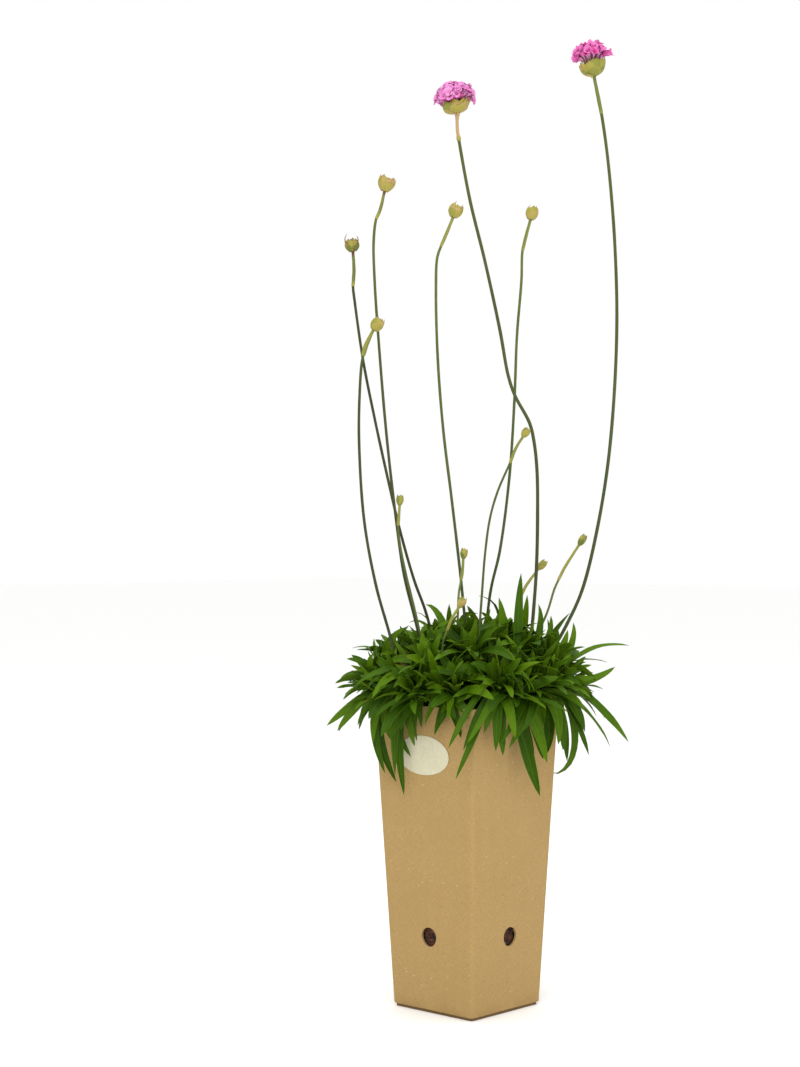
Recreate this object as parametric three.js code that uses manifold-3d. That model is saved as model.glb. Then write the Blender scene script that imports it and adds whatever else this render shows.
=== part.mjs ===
// A potted armeria: a tall square pot of kraft board, filled with dark peat, in which a clump of leaf
// rosettes grows. Thirteen wiry stalks rise out of it, two with an open pink bloom and eleven with a bud.
// Millimetres, +Z up. The origin is the middle of the pot's underside and the pot's sides face X and Y.
import * as THREE from 'three';
import { mergeVertices } from 'three/addons/utils/BufferGeometryUtils.js';
import Module from 'manifold-3d';

const wasm = await Module();
wasm.setup();

// Driving dimensions of the pot and what fills it
const POT_HEIGHT = 200;
const POT_TOP_SIDE = 87.5;
const POT_BOTTOM_SIDE = 68.7;
const POT_CORNER_RADIUS = 2.5;
const BOARD = 1.4;
const BASE_INSET = 1.5;
const BASE_REVEAL = 2;
const BASE_TOP = 3.4;
const SIDE_HOLE_DIAMETER = 12.5;
const SIDE_HOLE_HEIGHT = 50;
const SOIL_TOP = 193;
const HOLE_FLOOR = 184;
const LABEL_WIDTH = 44;
const LABEL_HEIGHT = 25.5;
const LABEL_MIDDLE = 168;
const LABEL_THICKNESS = 0.3;

// Clearance between two pieces that touch on the real plant, and the distance at which points are one
const GAP = 0.3;
const MERGE = 0.001;

// Driving dimensions of the plant
const STEM_RADIUS = 0.85;
const SHEATH_RADIUS = 1.15;
const CROWN_RADIUS = 4.6;
const CROWN_SIDES = 5;
const LEAF_SEAT = 0.72;
const BLADE_HALF_THICKNESS = 0.65;
const BLADE_CHANNEL = THREE.MathUtils.degToRad(17);
const BLADE_NECK = 0.22;
const NECK_IN_BLADE = 0.4;
const BLADE_FRONT = 1.357;
const BLADE_FULLNESS = 0.72;
const BLADE_THINNING = 0.35;
const LENGTH_STEPS = 50;
const BLADE_STEPS = [0, 0.3, 0.56, 0.82];
const SHORT_BLADE_STEPS = [0, 0.4, 0.8];
const HIGH_BLADE_STEPS = [0, 0.12, 0.3, 0.56, 0.82];
const HIGH_LIFT = 14;
const GOLDEN_TURN = THREE.MathUtils.degToRad(137.508);
const SEED = 20251;

// A head is a core turned about its axis with bracts round it. Across, its shapes are shares of the head's
// width, and along the axis shares of its height. The last point of a bract is its tip, and the tips are
// uneven by up to the share given. The bracts' widths add up to breadth times the head's width.
const CLOSED_BUD = {
  core: [[0, 0], [0.34, 0.4], [0, 0.9]],
  bract: [[0.14, 0.12], [0.56, 0.08], [0.64, 0.76], [0.2, 0.86]],
  uneven: 0.2,
  breadth: 2.7,
};
const OPEN_CUP = {
  core: [[0, 0], [0.25, 0.14], [0.36, 0.6], [0, 0.62]],
  bract: [[0.16, 0.14], [0.4, 0.02], [0.52, 0.6], [0.47, 0.8]],
  uneven: 0.1,
  breadth: 2.64,
};
const BRACT_NECK = 0.4;
const FIRST_BRACT_TURN = 0.35;
const BRACT_STEPS = [0, 0.6];
const BIG_BUD = 8;
const CUP_BRACTS = 6;

// The florets of a bloom stand round a core whose shape is given in shares of the dome's width
const FLORET_CORE = [[0, 0], [0.175, 0.03], [0.307, 0.175], [0.248, 0.32], [0, 0.41]];
const FLORETS = 17;
const FLORET_RADIUS = 0.14;
const FLORET_DEPTH = 1.2;
const LOWEST_FLORET = 0.08;

// The growth rule for leaves. Open says how freely a leaf can spread: 1 at the rim, outwards, and less for a
// leaf that grows into the clump. Angles are in degrees from upright, and spread is the reach of a chance.
const OPEN = { inMiddle: 0.55, perReach: 1 / 70, least: 0.15 };
const LEAN = { least: 8, open: 26, old: 58, spread: 16 };
const DROOP = { least: 14, old: 66, spread: 24 };
const GROWN_LENGTH = { young: 0.62, least: 0.84, spread: 0.28, shut: 0.74 };
const GROWN_WIDTH = { least: 7.5, spread: 4.5 };
const ROLL_SPREAD = 50;
const TURN_SPREAD = 0.5;
const TURN_PER_ROSETTE = 1.3;

// A known leaf starts lower on its crown the lower its tip hangs, from OLD_TIP mm down, and leaves the crown
// towards the point that it bends over
const YOUNG_TIP = 250;
const OLD_TIP = 170;
const LEAN_SHARE = 0.45;
const LEAST_LIFT = 4;

// Colours
const KRAFT = 0xba985f;
const PAPER = 0xddd6b2;
const PEAT = 0x2a1c12;
const STEM_GREEN = 0x47602c;
const BRACT_YELLOW = 0xb0ac52;
const BUD_GREEN = 0x8c9a2c;
const PETAL_PINK = 0xe07cc8;
const LEAF_GREEN = 0x3c6420;

// Room that the leaves keep: a leaf is tried LEAF_SPARE mm thicker than it is, a grown leaf gets
// GROWN_TRIES tries, and a leaf's first part, up to FREE_FROM of its length, may lie against its neighbours
const LEAF_SPARE = 0.2;
const GROWN_TRIES = 60;
const FREE_FROM = 0.15;
const SMALLER_EACH_TRY = 0.007;

// How far a known leaf is bent out of its place, try by try, to pass clear of the leaves before it
const ASIDE = [0, 2, -2, 4, -4, 7, -7, 10, -10, 14, -14, 18, -18];

// Holes in the soil: room round a crown and round a stem that leans where it leaves the soil
const CROWN_ROOM = 0.8;
const STEM_ROOM = 3;

// The plant is laid out in three directions: across and towards are seen from someone who looks at the
// pot's corner between the side with the label and the side at its right, and the third is up.
const CORNER_TURN = THREE.MathUtils.degToRad(42.9);
const ACROSS = new THREE.Vector3(Math.cos(CORNER_TURN), Math.sin(CORNER_TURN), 0);
const TOWARDS = new THREE.Vector3(Math.sin(CORNER_TURN), -Math.cos(CORNER_TURN), 0);
const UP = new THREE.Vector3(0, 0, 1);

// Where each rosette stands in the soil (across, towards), the height of its crown, how many leaves the
// growth rule gives it, and the length of its longest leaf
const ROSETTES = [
  { name: 'rosette_01', foot: [-46, 2], crown: 206, leaves: 7, reach: 56 },
  { name: 'rosette_02', foot: [-30, 18], crown: 206, leaves: 9, reach: 58 },
  { name: 'rosette_03', foot: [-16, 34], crown: 205, leaves: 9, reach: 54 },
  { name: 'rosette_04', foot: [16, 32], crown: 205, leaves: 10, reach: 56 },
  { name: 'rosette_05', foot: [36, 14], crown: 206, leaves: 9, reach: 62 },
  { name: 'rosette_06', foot: [47, 2], crown: 206, leaves: 8, reach: 60 },
  { name: 'rosette_07', foot: [-4, 12], crown: 209, leaves: 11, reach: 56 },
  { name: 'rosette_08', foot: [-26, 0], crown: 208, leaves: 11, reach: 54 },
  { name: 'rosette_09', foot: [16, 6], crown: 209, leaves: 11, reach: 58 },
  { name: 'rosette_10', foot: [-32, -17], crown: 206, leaves: 13, reach: 62 },
  { name: 'rosette_11', foot: [-10, -18], crown: 209, leaves: 11, reach: 56 },
  { name: 'rosette_12', foot: [14, -18], crown: 209, leaves: 12, reach: 58 },
  { name: 'rosette_13', foot: [30, -19], crown: 206, leaves: 12, reach: 64 },
  { name: 'rosette_14', foot: [-13, -36], crown: 205, leaves: 14, reach: 66 },
  { name: 'rosette_15', foot: [10, -39], crown: 205, leaves: 13, reach: 66 },
];

// The leaves that stand out of the clump, as they grew on this plant: rosette number, the point that the
// leaf bends towards, its tip (both across, towards, up), its width, how far its upper face is turned from
// the sky to the front in degrees, and how high it lifts before it bends
const KNOWN_LEAVES = [
  [10, -58, -20, 239, -76, -25, 234, 6, 0, 0],
  [1, -62, 6, 228, -79, 8, 228, 8, 50, 0],
  [1, -68, 12, 226, -62, 14, 233, 7, 80, 0],
  [1, -58, 6, 238, -41, 6, 250, 8, 70, 0],
  [8, -36, 0, 241, -41, 0, 248, 5, 0, 0],
  [2, -52, 22, 238, -57, 24, 232, 6, 60, 4],
  [1, -60, 4, 220, -73, 4, 214, 10, 60, 2],
  [1, -66, 8, 213, -71, 8, 210, 5, 20, 0],
  [1, -69, 2, 213, -81, 2, 202, 6, 10, 0],
  [1, -71, 10, 206, -91, 10, 184, 9, 55, 8],
  [1, -68, 16, 208, -84, 18, 182, 10, 50, 10],
  [1, -64, -4, 208, -71, -6, 181, 6, 40, 8],
  [2, -58, 18, 210, -63, 16, 176, 7, 60, 8],
  [2, -68, 24, 203, -48, 22, 149, 8, 80, 10],
  [2, -46, 30, 212, -43, 26, 142, 8, 90, 8],
  [3, -38, 38, 212, -49, 38, 180, 9, 80, 4],
  [3, -38, 34, 211, -33, 37, 178, 6, 40, 4],
  [3, -11, 47, 213, -22, 50, 183, 8, 60, 4],
  [3, -15, 50, 213, -5, 56, 182, 9, 90, 4],
  [4, 14, 58, 218, -8, 67, 157, 6, 40, 4],
  [4, 21, 58, 213, 20, 60, 171, 10, 90, 4],
  [4, 33, 44, 210, 44, 36, 142, 14, 90, 10],
  [5, 40, 52, 204, 26, 58, 175, 8, 60, 10],
  [5, 54, 34, 203, 52, 34, 167, 12, 80, 8],
  [5, 67, 16, 210, 78, 14, 181, 13, 70, 6],
  [6, 88, -12, 154, 56, -12, 151, 7, 70, 45],
  [6, 62, 12, 205, 66, 10, 162, 7, 80, 8],
  [6, 70, 6, 206, 79, 6, 165, 7, 40, 8],
  [5, 80, 4, 203, 94, 0, 170, 6, 40, 10],
  [6, 88, -4, 205, 106, -4, 172, 8, 60, 14],
  [13, 80, -10, 214, 93, -12, 189, 6, 45, 6],
  [6, 83, 0, 214, 83, -1, 201, 7, 30, 4],
  [5, 67, 8, 216, 70, 8, 202, 8, 60, 4],
  [6, 81, -2, 209, 98, -2, 223, 8, 55, 4],
  [6, 82, -10, 240, 108, -10, 237, 6, 15, 0],
  [13, 76, -16, 231, 94, -14, 226, 6, 20, 0],
  [6, 69, 0, 212, 71, 0, 220, 5, 10, 0],
  [6, 73, -4, 236, 71, -4, 252, 7, 80, 0],
  [13, 59, -12, 246, 69, -10, 258, 7, 50, 0],
  [6, 62, 8, 228, 65, 10, 248, 10, 80, 0],
  [5, 57, 8, 244, 55, 6, 257, 7, 70, 0],
  [5, 52, 4, 250, 46, 4, 264, 7, 80, 0],
  [13, 41, -12, 250, 39, -8, 270, 8, 80, 0],
  [5, 33, 12, 258, 35, 10, 285, 9, 90, 0],
  [9, 26, 4, 251, 22, 4, 269, 9, 80, 0],
  [12, 29, -8, 266, 8, -4, 270, 6, 10, 0],
  [12, 11, -10, 252, 16, -6, 261, 7, 60, 0],
  [9, 17, 0, 250, 23, 0, 259, 8, 70, 0],
  [11, -11, -14, 250, -11, -10, 264, 8, 80, 0],
  [7, -16, 6, 264, -27, 4, 265, 8, 70, 0],
  [11, -24, -10, 258, -38, -8, 252, 6, 30, 0],
  [11, -23, -18, 258, -33, -16, 258, 6, 10, 0],
  [8, -32, 2, 246, -38, 0, 250, 5, 10, 0],
  [11, -3, -8, 267, 6, -4, 257, 10, 60, 0],
  [7, 2, 24, 236, 5, 28, 255, 10, 90, 0],
  [7, 20, 34, 242, 33, 44, 227, 10, 50, 6],
  [4, -9, 42, 233, -8, 45, 209, 7, 30, 12],
  [4, 31, 48, 226, 34, 50, 207, 8, 60, 6],
  [3, -34, 40, 223, -45, 42, 208, 8, 60, 8],
  [7, -19, 38, 228, -28, 46, 203, 9, 90, 8],
  [2, -50, 42, 227, -62, 42, 206, 8, 50, 8],
  [4, 4, 54, 212, -8, 58, 204, 6, 30, 4],
];

// Each stalk from its foot in the soil up to its papery sheath, then the sheath up to the base of the head,
// and the middle of the head, all as (across, towards, up). size is the width of the bud or of the bloom's
// cup, and dome is the width of the florets above that cup.
const STALKS = [
  {
    name: 'stalk_01', head: 'bloom_01', florets: 'florets_01', size: 17, dome: 26,
    stem: [[38, 5], [44, 2, 260], [46, 0, 287], [46.8, 0, 320], [46.4, 0, 353], [44.4, 0, 372],
      [41.5, 0, 384], [31.9, 0, 402], [27.5, 0, 415], [22, 0, 445], [12, 0, 491], [2.2, 0, 531]],
    sheath: [[-5, 0, 570], [-6.2, 0, 578], [-6.3, 0, 588.6]], middle: [-7.1, 0, 592.4],
  },
  {
    name: 'stalk_02', head: 'bloom_02', florets: 'florets_02', size: 17.2, dome: 26,
    stem: [[42, -8], [52, -4, 224], [65.6, 0, 250], [76, 0, 273], [86, 0, 313], [94.3, 0, 366],
      [99, 0, 440], [97.9, 0, 500], [93.3, 0, 557]],
    sheath: [[89, 0, 588], [87, 0, 598], [84, 0, 613]], middle: [83.2, 0, 617.7],
  },
  {
    name: 'stalk_03', head: 'bud_03', size: 11.2,
    stem: [[-20, -9], [-34, -8, 254], [-41.4, -8, 284], [-47.3, -8, 326], [-53.2, -8, 379],
      [-58.2, -8, 439], [-60.8, -8, 478], [-61.5, -8, 505]],
    sheath: [[-59.8, -8, 520], [-57.2, -8, 526], [-54.3, -8, 538.3]], middle: [-53, -8, 543.5],
  },
  {
    name: 'stalk_04', head: 'bud_04', size: 9.8,
    stem: [[-12, -26], [-26, -17, 256], [-34.6, -16, 280], [-44, -16, 313], [-52, -16, 347],
      [-61.4, -16, 390], [-68.7, -16, 427], [-74.4, -16, 467]],
    sheath: [[-75.4, -16, 476], [-74.7, -16, 487], [-75.4, -16, 499.4]], middle: [-76, -16, 503.9],
  },
  {
    name: 'stalk_05', head: 'bud_05', size: 8.7,
    stem: [[-38, 12], [-50.5, 12, 244], [-59.7, 12, 277], [-67.5, 12, 320], [-70.8, 12, 372],
      [-70.5, 12, 400], [-69.2, 12, 421]],
    sheath: [[-68.2, 12, 427], [-66.2, 12, 434], [-61.4, 12, 444.2]], middle: [-58.6, 12, 448.3],
  },
  {
    name: 'stalk_06', head: 'bud_06', size: 9.7,
    stem: [[4, -6], [-3, -4, 274], [-9.7, -4, 333], [-15.3, -4, 379], [-18.9, -4, 425],
      [-20.2, -4, 472], [-19.3, -4, 494]],
    sheath: [[-16.9, -4, 501], [-13, -4, 510], [-8.8, -4, 520.4]], middle: [-7.2, -4, 525],
  },
  {
    name: 'stalk_07', head: 'bud_07', size: 8.7,
    stem: [[10, -28], [16.5, -24, 270], [23.2, -24, 300], [29.6, -24, 350], [32.9, -24, 401],
      [34.6, -24, 444], [37.6, -24, 481]],
    sheath: [[38.3, -24, 501], [40.7, -24, 511], [43.7, -24, 522]], middle: [44.8, -24, 526.8],
  },
  {
    name: 'stalk_08', head: 'bud_08', size: 5.4,
    stem: [[4, 18], [9.2, 14, 267], [11.8, 14, 300], [15, 14, 322], [20, 14, 339]],
    sheath: [[27.8, 14, 357], [31.8, 14, 367], [36.3, 14, 374.3]], middle: [38.3, 14, 377.3],
  },
  {
    name: 'stalk_09', head: 'bud_09', size: 4.8,
    stem: [[-22, 10], [-32.8, 8, 254], [-40, 8, 284], [-43.7, 8, 302]],
    sheath: [[-45.3, 8, 316], [-44.8, 8, 322], [-44.3, 8, 329.6]], middle: [-44.1, 8, 333.2],
  },
  {
    name: 'stalk_10', head: 'bud_10', size: 4.8,
    stem: [[-8, 2], [-6.2, 6, 250], [-5.3, 6, 272]],
    sheath: [[-4, 6, 280], [-3, 6, 286], [-2.4, 6, 294.6]], middle: [-1.9, 6, 298.2],
  },
  {
    name: 'stalk_11', head: 'bud_11', size: 4.9,
    stem: [[28, -10], [43, -7, 235], [53.7, -6, 259], [58.3, -6, 274]],
    sheath: [[61, -6, 280], [65, -6, 288], [74.7, -6, 303.4]], middle: [77, -6, 307],
  },
  {
    name: 'stalk_12', head: 'bud_12', size: 4.9,
    stem: [[24, -16], [30, -13, 235], [35.3, -12, 263]],
    sheath: [[36.6, -12, 269], [39.9, -12, 276], [48.2, -12, 287.4]], middle: [50.9, -12, 290.4],
  },
  {
    name: 'stalk_13', head: 'bud_13', size: 5.3,
    stem: [[-10, 26], [-15, 27, 218], [-16.6, 26, 234], [-15.9, 26, 242]],
    sheath: [[-13.6, 26, 248], [-10.4, 26, 256], [-5.7, 26, 263.5]], middle: [-3.8, 26, 266.8],
  },
];

// Two buds that have only just left the crown: foot and stem up to the base of the bud, then as above
const YOUNG_BUDS = [
  {
    name: 'young_bud_01', size: 7,
    stem: [[-36, 4], [-39, 13, 205], [-42.2, 23, 222]], middle: [-42.6, 24, 225.8],
  },
  {
    name: 'young_bud_02', size: 4.9,
    stem: [[-34, 10], [-38, 18, 203], [-41.2, 26.5, 216.4]], middle: [-41.5, 27, 219],
  },
];

// A point of the plant's own layout in the part's frame
function at(across, towards, up) {
  return new THREE.Vector3()
    .addScaledVector(ACROSS, across)
    .addScaledVector(TOWARDS, towards)
    .addScaledVector(UP, up);
}

// A number from 0 to 1 that is always the same for the same whole-number keys
function draw(...keys) {
  let mix = SEED;
  for (const key of keys) {
    mix = Math.imul((mix ^ (key + 40503)) >>> 0, 0x85ebca6b) >>> 0;
    mix = (mix ^ (mix >>> 13)) >>> 0;
    mix = Math.imul(mix, 0xc2b2ae35) >>> 0;
    mix = (mix ^ (mix >>> 16)) >>> 0;
  }
  return mix / 4294967296;
}

function toSolid(geometry) {
  const plain = geometry.clone();
  plain.deleteAttribute('normal');
  plain.deleteAttribute('uv');
  const merged = mergeVertices(plain, MERGE / 10);
  return new wasm.Manifold(new wasm.Mesh({
    numProp: 3,
    vertProperties: Float32Array.from(merged.attributes.position.array),
    triVerts: Uint32Array.from(merged.index.array),
  }));
}

function toGeometry(solid) {
  const mesh = solid.getMesh();
  const geometry = new THREE.BufferGeometry();
  geometry.setAttribute('position', new THREE.BufferAttribute(Float32Array.from(mesh.vertProperties), 3));
  geometry.setIndex(new THREE.BufferAttribute(Uint32Array.from(mesh.triVerts), 1));
  geometry.computeVertexNormals();
  return geometry;
}

// The largest body of a fused solid, without loose scraps and sealed hollows
function oneBody(solid) {
  const bodies = solid.decompose();
  bodies.sort((a, b) => b.volume() - a.volume());
  return bodies[0];
}

function fuse(solids) {
  return oneBody(solids.reduce((whole, piece) => whole.add(piece)));
}

const plant = new THREE.Group();

function addPiece(name, geometry, color, roughness) {
  const material = new THREE.MeshStandardMaterial({ color, roughness, metalness: 0, flatShading: true });
  const mesh = new THREE.Mesh(geometry, material);
  mesh.name = name;
  plant.add(mesh);
}

// The pot

function potSide(height) {
  return POT_BOTTOM_SIDE + (POT_TOP_SIDE - POT_BOTTOM_SIDE) * height / POT_HEIGHT;
}

// A block that fills the pot's outline between two heights, made smaller all round by inset
function potBlock(bottom, top, inset) {
  const half = potSide(top) / 2 - inset;
  const radius = Math.max(POT_CORNER_RADIUS - inset, 0.8);
  const outline = new THREE.Shape();
  outline.absarc(half - radius, half - radius, radius, 0, Math.PI / 2);
  outline.absarc(radius - half, half - radius, radius, Math.PI / 2, Math.PI);
  outline.absarc(radius - half, radius - half, radius, Math.PI, Math.PI * 1.5);
  outline.absarc(half - radius, radius - half, radius, Math.PI * 1.5, Math.PI * 2);
  const height = { depth: top - bottom, bevelEnabled: false, curveSegments: 2 };
  const block = new THREE.ExtrudeGeometry(outline, height);
  const narrow = (potSide(bottom) / 2 - inset) / half;
  const places = block.attributes.position;
  for (let i = 0; i < places.count; i += 1) {
    const rise = places.getZ(i) / (top - bottom);
    const scale = narrow + (1 - narrow) * rise;
    places.setXYZ(i, places.getX(i) * scale, places.getY(i) * scale, places.getZ(i) + bottom);
  }
  return toSolid(block);
}

function buildPot() {
  const outside = potBlock(BASE_REVEAL, POT_HEIGHT, 0);
  const foot = potBlock(0, BASE_TOP, BASE_INSET);
  const inside = potBlock(BASE_TOP, POT_HEIGHT + 2, BOARD);
  const radius = SIDE_HOLE_DIAMETER / 2;
  const hole = new THREE.CylinderGeometry(radius, radius, POT_TOP_SIDE * 2, 12);
  hole.translate(0, 0, SIDE_HOLE_HEIGHT);
  const alongY = toSolid(hole);
  const alongX = toSolid(hole.clone().rotateZ(Math.PI / 2));
  const pot = outside.add(foot).subtract(inside).subtract(alongX).subtract(alongY);
  addPiece('pot', toGeometry(oneBody(pot)), KRAFT, 0.85);
  return pot;
}

function buildLabel() {
  const outline = new THREE.Shape();
  outline.absellipse(0, 0, LABEL_WIDTH / 2, LABEL_HEIGHT / 2, 0, Math.PI * 2);
  const sheet = { depth: LABEL_THICKNESS, bevelEnabled: false, curveSegments: 10 };
  const label = new THREE.ExtrudeGeometry(outline, sheet);
  const slope = Math.atan((POT_TOP_SIDE - POT_BOTTOM_SIDE) / 2 / POT_HEIGHT);
  label.translate(0, 0, GAP);
  label.rotateX(Math.PI / 2 + slope);
  label.translate(0, -potSide(LABEL_MIDDLE) / 2, LABEL_MIDDLE);
  addPiece('label', label, PAPER, 0.6);
}

// The plain round-sided plug that a foot of the plant leaves in the soil
function soilPlug(foot, radius, sides) {
  const plug = new THREE.CylinderGeometry(radius, radius, SOIL_TOP + 5 - HOLE_FLOOR, sides);
  plug.rotateX(Math.PI / 2);
  const place = at(foot[0], foot[1], (SOIL_TOP + 5 + HOLE_FLOOR) / 2);
  plug.translate(place.x, place.y, place.z);
  return toSolid(plug);
}

function buildSoil() {
  let soil = potBlock(BASE_TOP + GAP, SOIL_TOP, BOARD + GAP);
  for (const rosette of ROSETTES) {
    soil = soil.subtract(soilPlug(rosette.foot, CROWN_RADIUS + CROWN_ROOM, CROWN_SIDES));
  }
  for (const stalk of [...STALKS, ...YOUNG_BUDS]) {
    soil = soil.subtract(soilPlug(stalk.stem[0], STEM_RADIUS + STEM_ROOM, 5));
  }
  addPiece('soil', toGeometry(oneBody(soil)), PEAT, 0.95);
  return soil;
}

// Stalks and heads

function curveThrough(points) {
  return new THREE.CatmullRomCurve3(points.map((p) => at(...p)));
}

function tube(curve, radius, sides, steps) {
  const section = new THREE.Shape();
  for (let i = 0; i < sides; i += 1) {
    const turn = i / sides * Math.PI * 2;
    const corner = [Math.cos(turn) * radius, Math.sin(turn) * radius];
    if (i === 0) {
      section.moveTo(...corner);
    } else {
      section.lineTo(...corner);
    }
  }
  return new THREE.ExtrudeGeometry(section, { steps, extrudePath: curve, bevelEnabled: false });
}

function stemPoints(stalk) {
  const [foot, ...rest] = stalk.stem;
  const standing = [foot[0], foot[1], HOLE_FLOOR + GAP * 2];
  const atSurface = [foot[0], foot[1], SOIL_TOP + 1];
  return [standing, atSurface, ...rest];
}

// The stem stops a gap short of its sheath
function stemSolid(stalk) {
  const points = stemPoints(stalk);
  const end = new THREE.Vector3(...stalk.sheath[0]);
  const before = new THREE.Vector3(...points.at(-1));
  end.addScaledVector(end.clone().sub(before).normalize(), -GAP - 0.2);
  const curve = curveThrough([...points, end.toArray()]);
  const steps = Math.max(8, Math.round(curve.getLength() / 32));
  return toSolid(tube(curve, STEM_RADIUS, 5, steps));
}

// A thin blade that follows a curve: rings of four corners (left edge, upper rib, right edge, lower rib)
// and a point at its tip. Both faces are split into triangles alike.
function bladeSolid(leaf, spare = 0) {
  const curve = new THREE.CubicBezierCurve3(leaf.root, leaf.lean, leaf.bend, leaf.tip);
  const neck = leaf.neck ?? BLADE_NECK;
  const corners = [];
  const lengths = curve.getLengths(LENGTH_STEPS);
  for (const t of leaf.steps) {
    const share = lengths[Math.round(t * LENGTH_STEPS)] / lengths.at(-1);
    const along = curve.getTangent(t);
    const flat = leaf.side.clone().addScaledVector(along, -leaf.side.dot(along)).normalize();
    const face = new THREE.Vector3().crossVectors(along, flat);
    const bulge = Math.sin(Math.PI * share ** BLADE_FRONT) ** BLADE_FULLNESS;
    const half = leaf.width / 2 * (neck * (1 - share) + (1 - neck * NECK_IN_BLADE) * bulge) + spare;
    const thick = BLADE_HALF_THICKNESS * (1 - BLADE_THINNING * share) + spare;
    const middle = curve.getPoint(t);
    const out = half * Math.cos(BLADE_CHANNEL);
    const lift = half * Math.sin(BLADE_CHANNEL);
    corners.push(middle.clone().addScaledVector(flat, -out).addScaledVector(face, lift));
    corners.push(middle.clone().addScaledVector(face, thick));
    corners.push(middle.clone().addScaledVector(flat, out).addScaledVector(face, lift));
    corners.push(middle.clone().addScaledVector(face, -thick));
  }
  const point = leaf.tip.clone().addScaledVector(curve.getTangent(1), spare);
  return toSolid(shellOf(corners, point));
}

// Closes rings of four corners into a shell that ends in a point
function shellOf(corners, point) {
  const rings = corners.length / 4;
  const faces = [[0, 1, 3], [1, 2, 3]];
  for (let i = 0; i < rings - 1; i += 1) {
    const [l, t, r, b] = [0, 1, 2, 3].map((k) => i * 4 + k);
    const [l2, t2, r2, b2] = [l + 4, t + 4, r + 4, b + 4];
    faces.push([l, t2, t], [l, l2, t2], [t, t2, r], [r, t2, r2]);
    faces.push([r, b2, b], [r, r2, b2], [b, b2, l], [l, b2, l2]);
  }
  const last = (rings - 1) * 4;
  for (let k = 0; k < 4; k += 1) {
    faces.push([last + (k + 1) % 4, last + k, corners.length]);
  }
  const geometry = new THREE.BufferGeometry();
  const places = [...corners, point].flatMap((p) => p.toArray());
  geometry.setAttribute('position', new THREE.Float32BufferAttribute(places, 3));
  geometry.setIndex(faces.flat());
  return geometry;
}

// A frame at the base of a head: its height, its axis and two directions square to it. The head's middle
// is half-way up.
function headFrame(stalk) {
  const base = at(...(stalk.sheath ?? stalk.stem).at(-1));
  const axis = at(...stalk.middle).sub(base);
  const height = axis.length() * 2;
  axis.normalize();
  const first = new THREE.Vector3().crossVectors(axis, TOWARDS).normalize();
  const second = new THREE.Vector3().crossVectors(axis, first);
  return { base, height, axis, first, second };
}

function around(frame, turn) {
  return frame.first.clone().multiplyScalar(Math.cos(turn)).addScaledVector(frame.second, Math.sin(turn));
}

// A round body about an axis from (radius, height) pairs
function turned(frame, origin, profile, sides) {
  const geometry = new THREE.LatheGeometry(profile.map(([r, h]) => new THREE.Vector2(r, h)), sides);
  const turn = new THREE.Matrix4().makeBasis(frame.second, frame.axis, frame.first);
  turn.setPosition(origin);
  return toSolid(geometry.applyMatrix4(turn));
}

function sheathSolid(stalk, frame) {
  const end = frame.base.clone().addScaledVector(frame.axis, stalk.size * 0.12);
  const points = [...stalk.sheath.map((p) => at(...p)), end];
  return toSolid(tube(new THREE.CatmullRomCurve3(points), SHEATH_RADIUS, 4, 3));
}

// A bract: a short blade on a head
function bractSolid(frame, turn, size, points, width) {
  const out = around(frame, turn);
  const [root, lean, bend, tip] = points.map(([outward, rise]) => frame.base.clone()
    .addScaledVector(out, outward * size)
    .addScaledVector(frame.axis, rise * frame.height));
  const side = new THREE.Vector3().crossVectors(out, frame.axis).negate();
  return bladeSolid({ root, lean, bend, tip, side, width, neck: BRACT_NECK, steps: BRACT_STEPS });
}

function headSolids(stalk, frame, shape, count) {
  const size = stalk.size;
  const core = shape.core.map(([r, h]) => [r * size, h * frame.height]);
  const solids = [turned(frame, frame.base, core, count)];
  const [root, lean, bend, tip] = shape.bract;
  for (let i = 0; i < count; i += 1) {
    const longer = shape.uneven * draw(7, i, Math.round(size * 10));
    const points = [root, lean, bend, [tip[0], tip[1] + longer]];
    const turn = FIRST_BRACT_TURN + i / count * Math.PI * 2;
    solids.push(bractSolid(frame, turn, size, points, size * shape.breadth / count));
  }
  return solids;
}

// One floret: a five-petalled funnel, as a star of ten rim corners between a root and a throat
function floretSolid(root, middle, out, radius) {
  const first = new THREE.Vector3().crossVectors(out, UP);
  if (first.length() < 0.1) {
    first.copy(ACROSS);
  }
  first.normalize();
  const second = new THREE.Vector3().crossVectors(out, first);
  const places = [root, middle.clone().addScaledVector(out, 0.3)];
  const faces = [];
  const turn0 = middle.x * 3 + middle.z;
  for (let i = 0; i < 10; i += 1) {
    const reach = i % 2 === 0 ? radius : radius * 0.62;
    const turn = turn0 + i * Math.PI / 5;
    const corner = middle.clone().addScaledVector(out, i % 2 === 0 ? 1.1 : 0.7);
    corner.addScaledVector(first, Math.cos(turn) * reach);
    corner.addScaledVector(second, Math.sin(turn) * reach);
    places.push(corner);
    const here = 2 + i;
    const next = 2 + (i + 1) % 10;
    faces.push([1, here, next], [0, next, here]);
  }
  const geometry = new THREE.BufferGeometry();
  geometry.setAttribute('position', new THREE.Float32BufferAttribute(places.flatMap((p) => p.toArray()), 3));
  geometry.setIndex(faces.flat());
  return toSolid(geometry);
}

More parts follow.
